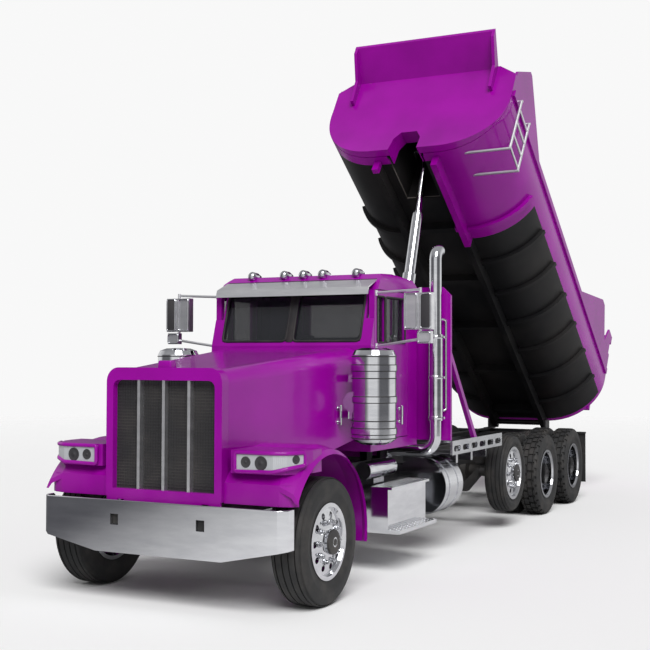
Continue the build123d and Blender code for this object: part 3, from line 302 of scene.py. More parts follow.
purple = (rgb(152, 4, 154), rgb(136, 2, 138), 0.30)
finishes = {
    "paint": paintFinish("purple_enamel", *purple),
    "bright": brightFinish("bright_plate", rgb(214, 215, 218), rgb(196, 197, 201), 0.06),
    "alloy": brightFinish("polished_alloy", rgb(196, 197, 200), rgb(176, 177, 181), 0.18),
    "frame_black": ironFinish("chassis_black", rgb(24, 24, 26), 0.42, 0.25),
    "iron": ironFinish("cast_iron", rgb(44, 43, 43), 0.6, 0.4),
    "tyre": rubberFinish("tyre_rubber", rgb(30, 30, 31)),
    "rubber": rubberFinish("flap_rubber", rgb(24, 24, 25)),
    "glass": glassFinish("cab_glass_tint", rgb(40, 42, 46), 0.55),
    "lens": lensFinish("clear_lens", rgb(172, 174, 178), 420.0),
    "red_lens": lensFinish("red_lens", rgb(150, 12, 16), 420.0),
    "trim": ironFinish("cab_trim", rgb(46, 45, 48), 0.65, 0.1),
    "seat": rubberFinish("seat_leather", rgb(58, 54, 56)),
}

# nodes that look other than their slot
zoned = {
    "bed_tub": paintFinish("bed_enamel", *purple, tubZones),
    "bed_bulkhead": paintFinish("bulkhead_enamel", *purple, bulkheadZones),
    "cab": paintFinish("cab_enamel", *purple, cabZones),
    "bed_ladder": brightFinish("galvanised_tube", rgb(226, 226, 228), rgb(206, 207, 209), 0.42),
    "sun_visor": brightFinish("visor_plate", rgb(238, 238, 240), rgb(222, 223, 226), 0.36),
    "front_bumper": brightFinish("bumper_plate", rgb(226, 227, 230), rgb(210, 211, 215), 0.07),
}
zoned["bed_sills"] = zoned["bed_tub"]
zoned["door_left"] = zoned["door_right"] = zoned["cab"]
zoned["grille_bars"] = zoned["bed_ladder"]
zoned["mirror_left"] = zoned["mirror_right"] = zoned["sun_visor"]
slotOf = {}
for row in frame["record"]["subparts"]:
    slotOf[row.get("node", row.get("name"))] = row.get("material_slot", row.get("slot"))
for name, obj in nodes.items():
    finish = zoned.get(name, finishes.get(slotOf.get(name), finishes["iron"]))
    for index in range(max(1, len(obj.material_slots))):
        if obj.material_slots:
            obj.material_slots[index].material = finish
        else:
            obj.data.materials.append(finish)
print("finishes given to", len(nodes), "nodes")


def clearPick():
    bpy.ops.object.select_all(action="DESELECT")


def pick(obj):
    clearPick()
    obj.select_set(True)
    bpy.context.view_layer.objects.active = obj


def editOn(obj, mode="FACE"):
    pick(obj)
    bpy.ops.object.mode_set(mode="EDIT")
    bpy.ops.mesh.select_mode(type=mode)


def editOff():
    bpy.ops.object.mode_set(mode="OBJECT")


def pickFaces(obj, test):
    # faces by their place and normal, chosen out of edit mode
    for vertex in obj.data.vertices:
        vertex.select = False
    for edge in obj.data.edges:
        edge.select = False
    for face in obj.data.polygons:
        face.select = bool(test(face.center, face.normal))


def applyAll(obj):
    pick(obj)
    for modifier in list(obj.modifiers):
        bpy.ops.object.modifier_apply(modifier=modifier.name)


def settle(obj):
    pick(obj)
    bpy.ops.object.transform_apply(location=True, rotation=True, scale=True)


def rounded(obj, width, segments=2, angle=30):
    soft = obj.modifiers.new("edge", "BEVEL")
    soft.width, soft.segments, soft.limit_method = width, segments, "ANGLE"
    soft.angle_limit = math.radians(angle)
    soft.use_clamp_overlap = True
    applyAll(obj)


def handIn(obj, name, body, slot, smooth=40, replaced=()):
    obj.name = name
    obj.data.name = name
    settle(obj)
    obj.data.materials.clear()
    obj.data.materials.append(finishes[slot])
    bpy.ops.object.shade_smooth_by_angle(angle=math.radians(smooth))
    if replaced:
        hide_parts(*replaced)
    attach(obj, body)
    return obj


def joined(parts):
    clearPick()
    for part in parts:
        part.select_set(True)
    bpy.context.view_layer.objects.active = parts[0]
    if len(parts) > 1:
        bpy.ops.object.join()
    return bpy.context.object


def copied(obj, matrix):
    # a copy with its own mesh, its place in the mesh
    twin = obj.copy()
    twin.data = obj.data.copy()
    bpy.context.collection.objects.link(twin)
    twin.data.transform(matrix)
    if matrix.determinant() < 0:
        twin.data.flip_normals()
    return twin


def box(low, high, edge=0.0, segments=2):
    size = [abs(b - a) for a, b in zip(low, high)]
    middle = [(a + b) / 2 for a, b in zip(low, high)]
    clearPick()
    bpy.ops.mesh.primitive_cube_add(size=1, location=middle)
    obj = bpy.context.object
    obj.scale = size
    settle(obj)
    if edge:
        rounded(obj, edge, segments)
    return obj


def drum(start, end, radius, sides=20, edge=0.0):
    first, last = Vector(start), Vector(end)
    run = last - first
    clearPick()
    bpy.ops.mesh.primitive_cylinder_add(vertices=sides, radius=radius, depth=run.length,
                                        location=(first + last) / 2)
    obj = bpy.context.object
    obj.rotation_mode = "QUATERNION"
    obj.rotation_quaternion = run.to_track_quat("Z", "Y")
    settle(obj)
    if edge:
        rounded(obj, edge, 2, 40)
    return obj


def tube(points, radius, sides=12, smooth=False, cyclic=False):
    # a bent bar: a curve with a round section, made a mesh
    line = bpy.data.curves.new("bar", "CURVE")
    line.dimensions = "3D"
    line.bevel_depth = radius
    line.bevel_resolution = max(1, sides // 4)
    line.use_fill_caps = True
    run = line.splines.new("NURBS" if smooth else "POLY")
    run.points.add(len(points) - 1)
    for spot, point in zip(run.points, points):
        spot.co = (*point, 1)
    run.use_cyclic_u = cyclic
    if smooth:
        run.order_u = 3
        run.use_endpoint_u = not cyclic
        run.resolution_u = 6
    obj = bpy.data.objects.new("bar", line)
    bpy.context.collection.objects.link(obj)
    pick(obj)
    bpy.ops.object.convert(target="MESH")
    return bpy.context.object


def turned(profile, steps, centre, axis):
    # points (along the axis, from the axis) drawn one by one, then spun
    axis = Vector(axis).normalized()
    out = axis.orthogonal().normalized()
    places = [Vector(centre) + axis * along + out * away for along, away in profile]
    clearPick()
    bpy.ops.mesh.primitive_plane_add(size=0.01, location=places[0])
    obj = bpy.context.object
    settle(obj)
    editOn(obj, "VERT")
    bpy.ops.mesh.select_all(action="SELECT")
    bpy.ops.mesh.merge(type="CENTER")
    for before, after in zip(places, places[1:]):
        bpy.ops.mesh.extrude_region_move(TRANSFORM_OT_translate={"value": after - before})
    bpy.ops.mesh.select_all(action="SELECT")
    bpy.ops.mesh.spin(steps=steps, angle=2 * math.pi, center=centre, axis=axis)
    bpy.ops.mesh.select_all(action="SELECT")
    bpy.ops.mesh.remove_doubles(threshold=0.00002)
    bpy.ops.mesh.normals_make_consistent(inside=False)
    editOff()
    return obj


axleX, liftX, driveX, tandem = 4.77308, -0.30692, -1.72692, 1.34
wheelSet = {
    # name: axle x, axle z, centre y, tyre offsets, tyre width, tyre radius, kind
    "front": (axleX, 0.53, 1.09, (0,), 0.300, 0.530, "rib"),
    "lift": (liftX, 0.66, 1.0825, (0,), 0.255, 0.465, "rib"),
    "drive_fore": (driveX, 0.53, 0.9125, (-0.17, 0.17), 0.275, 0.530, "lug"),
    "drive_aft": (driveX - tandem, 0.53, 0.9125, (-0.17, 0.17), 0.275, 0.530, "lug"),
}
tyreShape = {
    "bead": 0.300,
    "steps": 90,
    "rib": {"grooves": (-0.30, -0.10, 0.10, 0.30), "width": 0.012, "depth": 0.012, "slot": 0.007},
    "lug": {"grooves": (-0.24, 0.0, 0.24), "width": 0.014, "depth": 0.016, "slot": 0.016},
}


def tyreProfile(width, radius, kind):
    half = width / 2
    bead = tyreShape["bead"]
    depth = radius - bead
    side = [
        (half - 0.030, bead + 0.0005), (half - 0.029, bead + 0.020), (half - 0.020, bead + 0.034),
        (half - 0.022, bead + 0.042), (half - 0.008, bead + 0.36 * depth), (half - 0.002, bead + 0.44 * depth),
        (half, bead + 0.50 * depth), (half - 0.003, bead + 0.56 * depth), (half - 0.003, bead + 0.66 * depth),
        (half - 0.006, bead + 0.70 * depth), (half - 0.010, radius - 0.047), (half - 0.010, radius - 0.042),
        (half - 0.018, radius - 0.020), (half - 0.030, radius - 0.008), (half - 0.047, radius - 0.001),
    ]
    tread = []
    cut = tyreShape[kind]
    for groove in cut["grooves"]:
        middle = -groove * width
        gap = cut["width"] / 2
        tread += [(middle + gap, radius), (middle + gap * 0.7, radius - cut["depth"]),
                  (middle - gap * 0.7, radius - cut["depth"]), (middle - gap, radius)]
    far = [(-along, away) for along, away in reversed(side)]
    return side + tread + far


def addTyre(wheel, side, label):
    x, z, y, offsets, width, radius, kind = wheelSet[wheel]
    cut = tyreShape[kind]
    edge = width * 0.3
    made = []
    for offset in offsets:
        centre = Vector((x, side * (y + offset), z))
        obj = turned(tyreProfile(width, radius, kind), tyreShape["steps"], centre, (0, 1, 0))

        def onLug(spot, normal):
            flat = Vector((spot.x - centre.x, 0, spot.z - centre.z))
            turn = int((math.atan2(flat.z, flat.x) / (2 * math.pi) * tyreShape["steps"]) + 900.5)
            along = spot.y - centre.y
            if flat.length < radius - 0.025:
                return False
            shoulder = abs(along) > edge
            if kind == "lug":
                shift = 0 if shoulder else (1 if along > 0 else 2)
                top = flat.length > radius - 0.003 or shoulder
                return top and (turn + shift) % 3 == 0
            return shoulder and flat.length < radius - 0.006 and turn % 2 == 0

        pickFaces(obj, onLug)
        editOn(obj)
        bpy.ops.mesh.extrude_region_shrink_fatten(TRANSFORM_OT_shrink_fatten={"value": -cut["slot"]})
        editOff()
        made.append(obj)
    handIn(joined(made), f"{wheel}_{label}_tread", f"{wheel}_{label}_wheel", "tyre", 35,
           (f"tyre_{wheel}_{label}",))


nutShape = {"count": 10, "circle": 0.1675, "across": 0.019, "tall": 0.030, "washer": 0.026}
nutFace = {"front": 0.126, "lift": 0.1035, "drive_fore": 0.028, "drive_aft": 0.028}


def addNuts(wheel, side, label):
    # a ring of nuts, each with its washer and stud
    x, z, y = wheelSet[wheel][:3]
    face = side * (y + nutFace[wheel])
    out = Vector((0, side, 0))
    first = Vector((x + nutShape["circle"], face, z))
    nut = drum(first, first + out * nutShape["tall"], nutShape["across"], 6, 0.003)
    ring = drum(first - out * 0.03, first + out * 0.006, nutShape["washer"], 18, 0.002)
    tip = drum(first, first + out * (nutShape["tall"] + 0.012), 0.010, 12, 0.003)
    one = joined([nut, ring, tip])
    made = [one]
    axle = Matrix.Translation((x, 0, z))
    for index in range(1, nutShape["count"]):
        turn = Matrix.Rotation(2 * math.pi * index / nutShape["count"], 4, "Y")
        made.append(copied(one, axle @ turn @ axle.inverted()))
    handIn(joined(made), f"{wheel}_{label}_nuts", f"{wheel}_{label}_wheel", "alloy", 30)


hubShape = {
    "inset": 0.030,
    # along the axle, and away from it
    "single": ((0.028, 0.1015), (0.046, 0.1030), (0.060, 0.1020), (0.0695, 0.0630), (0.0700, 0.0420),
               (0.0640, 0.0400), (0.0640, 0.0300), (0.0710, 0.0280), (0.0720, 0.0004)),
    "dual": ((0.100, 0.1360), (0.118, 0.1335), (0.151, 0.1270), (0.1665, 0.0620), (0.1670, 0.0420),
             (0.1600, 0.0400), (0.1600, 0.0300), (0.1675, 0.0280), (0.1685, 0.0004)),
}


def addHub(wheel, side, label):
    # dark hub cap with a ring let into its face
    x, z, y, offsets, width = wheelSet[wheel][:5]
    single = len(offsets) == 1
    start = width / 2 - hubShape["inset"] if single else 0.0
    profile = [(start + along, away) for along, away in hubShape["single" if single else "dual"]]
    cap = turned(profile, 40, (x, side * y, z), (0, side, 0))
    handIn(cap, f"{wheel}_{label}_hub", f"{wheel}_{label}_wheel", "iron", 30)


for wheel in wheelSet:
    for label, side in (("left", 1), ("right", -1)):
        addTyre(wheel, side, label)
        addNuts(wheel, side, label)
        addHub(wheel, side, label)
print("tyres, wheel nuts and hubs made")


grilleShape = {"half": 0.503, "low": 0.947, "high": 1.853, "at": 5.353, "pitch": 0.026, "wire": 0.0022}


def addGrilleMesh():
    # woven screen: upright wires behind, level wires in front
    g = grilleShape
    made = []
    count = int(2 * g["half"] / g["pitch"])
    upright = drum((g["at"], -g["half"], g["low"]), (g["at"], -g["half"], g["high"]), g["wire"], 6)
    level = drum((g["at"] + 0.003, -g["half"], g["low"]), (g["at"] + 0.003, g["half"], g["low"]), g["wire"], 6)
    for obj, step in ((upright, (0, g["pitch"], 0)), (level, (0, 0, g["pitch"]))):
        row = obj.modifiers.new("row", "ARRAY")
        row.use_relative_offset = False
        row.use_constant_offset = True
        row.constant_offset_displace = step
        row.count = count if obj is upright else int((g["high"] - g["low"]) / g["pitch"])
        applyAll(obj)
        made.append(obj)
    handIn(joined(made), "grille_mesh", "hood_assembly", "iron", 60)


capShape = {"low": (5.300, -0.075, 1.945), "high": (5.395, 0.065, 2.020), "edge": 0.012}


def addHoodCap():
    # plain block on the crown of the grille surround
    obj = box(capShape["low"], capShape["high"])
    pickFaces(obj, lambda spot, normal: normal.z > 0.9)
    editOn(obj)
    bpy.ops.transform.resize(value=(0.82, 0.9, 1))
    editOff()
    rounded(obj, capShape["edge"], 3)
    handIn(obj, "hood_cap", "hood_assembly", "paint")


handleShape = {
    "reach": 0.040, "wide": 0.034, "thick": 0.014, "foot": 0.011,
    "door": (2.56, 0.90, 1.38, 1.57), "hood": (3.66, 0.748, 1.42, 1.61),   # x, y, low and high
}


def addHandle(name, body, place, side):
    # a flat upright pull on two posts
    h = handleShape
    x, y, low, high = place
    y = side * y
    face = y + side * h["reach"]
    near, far = sorted((face, face - side * h["thick"]))
    bar = box((x - h["wide"] / 2, near, low), (x + h["wide"] / 2, far, high), 0.005, 3)
    posts = [drum((x, y - side * 0.004, z), (x, face - side * 0.006, z), h["foot"], 16, 0.002)
             for z in (low + 0.03, high - 0.03)]
    plates = [drum((x, y - side * 0.004, z), (x, y + side * 0.004, z), h["foot"] * 1.7, 20, 0.002)
              for z in (low + 0.03, high - 0.03)]
    handIn(joined([bar] + posts + plates), name, body, "bright")


def roundedLoop(corners, radius, steps=4):
    # a closed loop with eased corners
    loop = []
    count = len(corners)
    for index in range(count):
        before, here, after = (Vector(corners[(index + k) % count]) for k in (-1, 0, 1))
        first = here + (before - here).normalized() * radius
        last = here + (after - here).normalized() * radius
        for step in range(steps + 1):
            part = step / steps
            loop.append(first.lerp(here, part).lerp(here.lerp(last, part), part))
    return loop


gasketShape = {
    "bead": 0.013, "corner": 0.05,
    "screen": (0.037, 2.212, 2.688),   # each half from this far off the middle, low and high
    "post": ((-0.004, -0.036, 2.205), (0.010, 0.036, 2.692)),
    "rear": (0.43, 2.26, 2.64),
    "doors": ((2.41108, 2.90008), (2.92008, 3.10508)),   # each door's panes, along x
    "doorHigh": (2.20, 2.652), "doorBead": 0.009, "doorCorner": 0.03,
}


def addGaskets():
    # rubber round every pane
    g = gasketShape
    slope = cabSize["rake"] / (cabSize["glassTop"] + 0.03 - cabSize["belt"])

    def onScreen(y, z):
        return (cabSize["front"] - slope * (z - cabSize["belt"]) - 0.001, y, z)

    made = []
    inner, low, high = g["screen"]
    for side in (1, -1):
        near, far = side * inner, side * cabSize["screen"]
        corners = [onScreen(near, low), onScreen(far, low), onScreen(far, high), onScreen(near, high)]
        made.append(tube(roundedLoop(corners, g["corner"]), g["bead"], 8, False, True))
    post = box(*g["post"])
    for vertex in post.data.vertices:
        vertex.co.x += onScreen(0, vertex.co.z)[0]
    rounded(post, 0.004, 2)
    made.append(post)
    half, low, high = g["rear"]
    x = cabSize["back"] + 0.002
    corners = [(x, -half, low), (x, half, low), (x, half, high), (x, -half, high)]
    made.append(tube(roundedLoop(corners, g["corner"]), g["bead"], 8, False, True))
    handIn(joined(made), "screen_rubber", "chassis", "rubber", 60)
    low, high = g["doorHigh"]
    for label, side in (("left", 1), ("right", -1)):
        y = side * (cabSize["side"] + 0.001)
        made = []
        for start, end in g["doors"]:
            corners = [(start, y, low), (end, y, low), (end, y, high), (start, y, high)]
            made.append(tube(roundedLoop(corners, g["doorCorner"]), g["doorBead"], 8, False, True))
        handIn(joined(made), f"door_rubber_{label}", f"{label}_door", "rubber", 60)


addGrilleMesh()
addHoodCap()
for label, side in (("left", 1), ("right", -1)):
    addHandle(f"door_pull_{label}", f"{label}_door", handleShape["door"], side)
    addHandle(f"hood_pull_{label}", "hood_assembly", handleShape["hood"], side)
addGaskets()
print("grille, handles and rubbers made")


lampShape = {
    # front edge of a lens: x, y, low z; the top is level
    "edge": ((5.39908, 0.690, 1.136), (5.39908, 1.037, 1.143),
             (5.35008, 1.137, 1.169), (5.20408, 1.223, 1.191)),
    "top": 1.290,
    "rim": 0.017,
}


def addLampRims():
    # painted rim bent round the corner with the lens
    for label, side in (("left", 1), ("right", -1)):
        low = [(x, side * y, z) for x, y, z in lampShape["edge"]]
        high = [(x, side * y, lampShape["top"]) for x, y, z in reversed(lampShape["edge"])]
        rim = tube(roundedLoop(low + high, 0.025), lampShape["rim"], 12, False, True)
        handIn(rim, f"lamp_rim_{label}", "hood_assembly", "paint", 50)


bowlShape = {
    "face": 5.39908, "centres": ((0.790, 1.214, 0.040), (0.930, 1.210, 0.052)),   # y, z, radius
    "side": (5.277, 1.180, 1.240), "sideAim": (0.508, 0.861), "sideRadius": 0.030,
}


def addLampBowls():
    # two round beams in the front of each lens, and a marker on its side
    for label, side in (("left", 1), ("right", -1)):
        made = []
        x, y, z = bowlShape["side"]
        ahead, aside = bowlShape["sideAim"]
        places = [((bowlShape["face"], side * y, z), (1, 0, 0), r) for y, z, r in bowlShape["centres"]]
        places.append(((x, side * y, z), (ahead, side * aside, 0), bowlShape["sideRadius"]))
        for centre, aim, r in places:
            profile = [(0.000, r + 0.005), (0.004, r + 0.003), (0.005, r), (0.003, r - 0.004), (0.001, r * 0.7),
                       (0.001, r * 0.3), (0.004, r * 0.25), (0.006, r * 0.12), (0.0065, 0.0004)]
            made.append(turned(profile, 28, centre, aim))
        handIn(joined(made), f"lamp_beams_{label}", "hood_assembly", "trim", 50)


mirrorShape = {
    "head": 3.16308, "y": 1.37,
    # each glass: off the head's middle, low and high, back of the head, thickness, edge, bevel steps
    "tall": (-0.138, 0.118, 2.335, 2.655, 0.040, 0.004, 0.0035, 2),
    "wide": (-0.003, 0.108, 2.205, 2.29, 0.030, 0.006, 0.004, 3),
}


def addMirrorGlass():
    # a tall flat glass and a small round one on the back of each head
    for label, side in (("left", 1), ("right", -1)):
        made = []
        for near, far, low, high, back, thick, edge, steps in (mirrorShape["tall"], mirrorShape["wide"]):
            y0, y1 = sorted((side * (mirrorShape["y"] + near), side * (mirrorShape["y"] + far)))
            x = mirrorShape["head"] - back
            made.append(box((x - thick, y0, low), (x + 0.002, y1, high), edge, steps))
        handIn(joined(made), f"mirror_glass_{label}", f"{label}_door", "bright", 40)


shellShape = {
    "front": 0.0405, "low": 2.33, "high": 2.66, "bar": 0.008, "corner": 0.025,
    "halves": ((-0.142, -0.020), (0.020, 0.122)),   # off the head's middle
    "small": (-0.010, 0.115), "smallHigh": (2.20, 2.295), "smallCorner": 0.02,
    "pane": (0.024, 0.118),
}


def addMirrorShells():
    # bright beads round both halves of each head, with a dark pane in the outer half
    s = shellShape
    for label, side in (("left", 1), ("right", -1)):
        def acrossHead(near, far):
            return side * (mirrorShape["y"] + near), side * (mirrorShape["y"] + far)

        face = mirrorShape["head"] + s["front"]
        low, high = s["low"], s["high"]
        made = []
        for half in s["halves"]:
            y0, y1 = acrossHead(*half)
            corners = [(face, y0, low), (face, y1, low), (face, y1, high), (face, y0, high)]
            made.append(tube(roundedLoop(corners, s["corner"]), s["bar"], 8, False, True))
        y0, y1 = sorted(acrossHead(*s["small"]))
        foot, top = s["smallHigh"]
        corners = [(face - 0.01, y, z) for y, z in ((y0, foot), (y1, foot), (y1, top), (y0, top))]
        made.append(tube(roundedLoop(corners, s["smallCorner"]), s["bar"] * 0.8, 8, False, True))
        handIn(joined(made), f"mirror_bead_{label}", f"{label}_door", "bright", 50)
        y0, y1 = sorted(acrossHead(*s["pane"]))
        pane = box((face - 0.003, y0, low + 0.004), (face + 0.003, y1, high - 0.004), 0.002)
        handIn(pane, f"mirror_pane_{label}", f"{label}_door", "trim", 40)


cleanerShape = {
    "x": 3.58308, "y": 1.085, "radius": 0.205, "bead": 0.006, "tall": 0.005,
    "rows": (1.310, 1.347, 1.403, 1.470, 1.637, 1.693, 1.860, 1.927, 1.983, 2.060),
}


def addCleanerBeads():
    # dark rolled beads round both cans
    made = []
    r, half, out = cleanerShape["radius"], cleanerShape["tall"], cleanerShape["bead"]
    profile = [(-half, r - 0.003), (-half, r + out * 0.5), (-half * 0.5, r + out), (half * 0.5, r + out),
               (half, r + out * 0.5), (half, r - 0.003)]
    for side in (1, -1):
        for z in cleanerShape["rows"]:
            made.append(turned(profile, 48, (cleanerShape["x"], side * cleanerShape["y"], z), (0, 0, 1)))
    handIn(joined(made), "cleaner_beads", "chassis", "rubber", 40)


roofLamp = {"tip": 2.98808, "z": 2.895, "rows": (-0.60, -0.22, 0.0, 0.22, 0.60), "radius": 0.046,
            "pad": (2.890, 2.912)}


def addRoofLampFaces():
    # rounded cap at the nose of each lamp and a pad below it
    made = []
    r = roofLamp["radius"]
    profile = [(-0.020, r - 0.002), (-0.020, r + 0.002), (0.004, r + 0.003), (0.010, r), (0.026, r * 0.86),
               (0.036, r * 0.70), (0.0445, r * 0.3), (0.0465, 0.0004)]
    x = roofLamp["tip"] - 0.044
    low, high = roofLamp["pad"]
    for y in roofLamp["rows"]:
        made.append(turned(profile, 28, (x, y, roofLamp["z"]), (1, 0, 0)))
        made.append(box((x - 0.13, y - 0.034, low), (x - 0.01, y + 0.034, high), 0.008, 3))
    handIn(joined(made), "roof_lamp_noses", "chassis", "alloy", 40)


pocketShape = {"x": (5.4555, 5.4655), "y": (0.387, 0.463), "z": (0.652, 0.738), "lip": 0.010, "deep": 0.006}


def addTowPockets():
    # dark trays in the two square holes of the bumper, painted shade inside the holes
    made = []
    for side in (1, -1):
        (back, front), (low, high) = pocketShape["x"], pocketShape["z"]
        near, far = sorted(side * y for y in pocketShape["y"])
        tray = box((back, near, low), (front, far, high))
        pickFaces(tray, lambda spot, normal: normal.x > 0.9)
        editOn(tray)
        bpy.ops.mesh.inset(thickness=pocketShape["lip"])
        bpy.ops.mesh.extrude_region_shrink_fatten(TRANSFORM_OT_shrink_fatten={"value": -pocketShape["deep"]})
        editOff()
        rounded(tray, 0.0015)
        made.append(tray)
    handIn(joined(made), "tow_pockets", "chassis", "rubber", 40)


bumperLip = {
    "front": 5.48508, "z": 0.850, "radius": 0.008,
    "plan": ((-0.142, -1.192), (-0.058, -1.192), (0.0, -1.126), (0.0, 1.126), (-0.058, 1.192), (-0.142, 1.192)),
}


def addBumperLip():
    points = [(bumperLip["front"] + x, y, bumperLip["z"]) for x, y in bumperLip["plan"]]
    bar = tube(points, bumperLip["radius"], 12)
    handIn(bar, "bumper_lip", "chassis", "bright", 40)


scoopShape = {
    "front": 5.830, "lean": 0.090 / 1.450,   # bulkhead face along the bed, and its lean for each metre up
    "foot": 0.086, "crease": 0.930, "plate": 0.006, "scoop": 0.105,
    "round": 0.796,
    "mouth": ((0.190, 0.086), (0.178, 0.300), (0.105, 0.420)),   # half width and height
    "deep": 0.150, "wall": 0.012,
    "rows": 20, "columns": 40,
}


def plate(outline, thick, place):
    # a flat curve filled and thickened, made a mesh, then put in its place
    line = bpy.data.curves.new("plate", "CURVE")
    line.dimensions = "2D"
    line.fill_mode = "BOTH"
    line.extrude = thick / 2
    run = line.splines.new("POLY")
    run.points.add(len(outline) - 1)
    for spot, (across, up) in zip(run.points, outline):
        spot.co = (across, up, 0, 1)
    run.use_cyclic_u = True
    obj = bpy.data.objects.new("plate", line)
    bpy.context.collection.objects.link(obj)
    pick(obj)
    bpy.ops.object.convert(target="MESH")
    obj = bpy.context.object
    editOn(obj, "VERT")
    bpy.ops.mesh.select_all(action="SELECT")
    bpy.ops.mesh.remove_doubles(threshold=0.0001)
    bpy.ops.mesh.normals_make_consistent(inside=False)
    editOff()
    obj.data.transform(place)
    return obj


def scoopPatch(low, high, inner, outer):
    # flat part of the sheet between two heights and two edges
    clearPick()
    columns, rows = scoopShape["columns"], scoopShape["rows"]
    bpy.ops.mesh.primitive_grid_add(x_subdivisions=columns, y_subdivisions=rows, size=1)
    obj = bpy.context.object
    for spot in obj.data.vertices:
        up = low + (high - low) * (spot.co.y + 0.5)
        across = inner(up) + (outer(up) - inner(up)) * (spot.co.x + 0.5)
        spot.co = (across, up, 0)
    return obj


def curled(obj):
    # the joined patches thickened, and curled forward below the crease
    c = scoopShape
    editOn(obj, "VERT")
    bpy.ops.mesh.select_all(action="SELECT")
    bpy.ops.mesh.remove_doubles(threshold=0.0002)
    bpy.ops.mesh.select_mode(type="FACE")
    bpy.ops.mesh.select_all(action="SELECT")
    bpy.ops.mesh.extrude_region_move(TRANSFORM_OT_translate={"value": (0, 0, c["plate"])})
    editOff()
    for spot in obj.data.vertices:
        if spot.select:
            down = max(c["crease"] - spot.co.y, 0) / (c["crease"] - c["foot"])
            spot.co.z = c["plate"] + c["scoop"] * down ** 2
    editOn(obj, "VERT")
    bpy.ops.mesh.select_all(action="SELECT")
    bpy.ops.mesh.normals_make_consistent(inside=False)
    editOff()
    return obj


def addBulkheadScoop():
    # lower half of the bulkhead curled forward, with the hoist's mouth in it and a deep lip round the mouth
    c, b = scoopShape, bedShape
    lean = c["lean"]
    along, upright = math.cos(b["raise"]), math.sin(b["raise"])
    up = Vector((lean * along - upright, 0, lean * upright + along)).normalized()
    side = Vector((0, 1, 0))
    out = side.cross(up)
    foot = Vector((b["hinge"][0] + c["front"] * along, 0, b["hinge"][1] + c["front"] * upright))
    place = Matrix((side, up, out)).transposed().to_4x4()
    place.translation = foot + out * 0.0008
    (footWide, footUp), (sideWide, sideUp), (topWide, topUp) = c["mouth"]

    def rim(height):
        drop = max(b["belly"] - height, 0)
        return b["flank"] + math.sqrt(max(c["round"] ** 2 - drop ** 2, 0))

    def mouthSide(height):
        if height < sideUp:
            return footWide + (sideWide - footWide) * (height - footUp) / (sideUp - footUp)
        return sideWide + (topWide - sideWide) * (height - sideUp) / (topUp - sideUp)

    def mouthEdge(height):
        return mouthSide(min(height, topUp))

    patches = [scoopPatch(topUp, c["crease"], lambda height: -topWide, lambda height: topWide)]
    for low, high in ((footUp, sideUp), (sideUp, topUp), (topUp, c["crease"])):
        patches.append(scoopPatch(low, high, mouthEdge, rim))
        patches.append(scoopPatch(low, high, lambda height: -rim(height), lambda height: -mouthEdge(height)))
    sheet = curled(joined(patches))
    sheet.data.transform(place)
    wall = c["wall"]
    mouth = list(c["mouth"]) + [(-across, height) for across, height in reversed(c["mouth"])]
    half = [(footWide + wall, footUp), (sideWide + wall, sideUp + 0.004), (topWide + wall * 0.6, topUp + wall)]
    grown = [(-across, height) for across, height in half] + half[::-1]
    place.translation = foot - out * (c["deep"] / 2)
    lip = plate(grown + mouth, c["deep"], place)
    handIn(joined([sheet, lip]), "bulkhead_scoop", "bed", "paint", 30)


stepShape = {
    "pitch": 0.045, "grip": (0.030, 0.009, 0.004),
    # each tread plate: x from and to, y from and to, top
    "plates": ((2.34, 3.26, 1.105, 1.20, 0.421), (2.34, 3.26, 0.915, 1.12, 0.822)),
}


def addStepGrips():
    # raised lozenges on each tread plate
    pitch = stepShape["pitch"]
    places = []
    for side in (1, -1):
        for x0, x1, y0, y1, top in stepShape["plates"]:
            for row in range(int((y1 - y0) / pitch) + 1):
                for column in range(int((x1 - x0) / pitch) + 1):
                    turn = 45 if (row + column) % 2 else -45
                    places.append((x0 + column * pitch, side * (y0 + row * pitch), top, turn))
    clearPick()
    bpy.ops.mesh.primitive_cylinder_add(vertices=8, radius=0.5, depth=1, location=(0, 0, 0))
    grip = bpy.context.object
    grip.scale = stepShape["grip"]
    settle(grip)
    pickFaces(grip, lambda spot, normal: normal.z > 0.9)
    editOn(grip)
    bpy.ops.transform.resize(value=(0.6, 0.5, 1))
    editOff()
    copies = []
    for x, y, z, turn in places:
        spot = Matrix.Translation((x, y, z + 0.0015)) @ Matrix.Rotation(math.radians(turn), 4, "Z")
        copies.append(copied(grip, spot))
    bpy.data.objects.remove(grip)
    handIn(joined(copies), "step_grips", "chassis", "alloy", 30)


stackShape = {
    "x": 2.02808, "y": 1.085, "radius": 0.078,
    "clamps": (1.43, 1.85, 2.27),
    "grab": (1.50, 1.56, 2.40, 2.46), "grabRadius": 0.012,
}


def addStackClamps():
    # band clamps with a bolt each, and a grab bar outside them
    made = []
    x, y, r = stackShape["x"], stackShape["y"], stackShape["radius"]
    profile = [(-0.016, r - 0.004), (-0.016, r + 0.004), (-0.010, r + 0.007), (0.010, r + 0.007),
               (0.016, r + 0.004), (0.016, r - 0.004)]
    ear = y + r + 0.012
    for z in stackShape["clamps"]:
        made.append(turned(profile, 40, (x, y, z), (0, 0, 1)))
        made.append(box((x - 0.018, ear - 0.010, z - 0.012), (x + 0.018, ear + 0.014, z + 0.012), 0.003))
        made.append(drum((x - 0.032, ear + 0.003, z), (x + 0.032, ear + 0.003, z), 0.006, 8))
    x, y = x - 0.07, y + 0.09
    low, lowBend, highBend, high = stackShape["grab"]
    points = [(x + 0.05, y - 0.05, low), (x, y, low), (x, y, lowBend), (x, y, highBend), (x, y, high),
              (x + 0.05, y - 0.05, high)]
    made.append(tube(points, stackShape["grabRadius"], 12, True))
    handIn(joined(made), "stack_clamps", "chassis", "bright", 40)


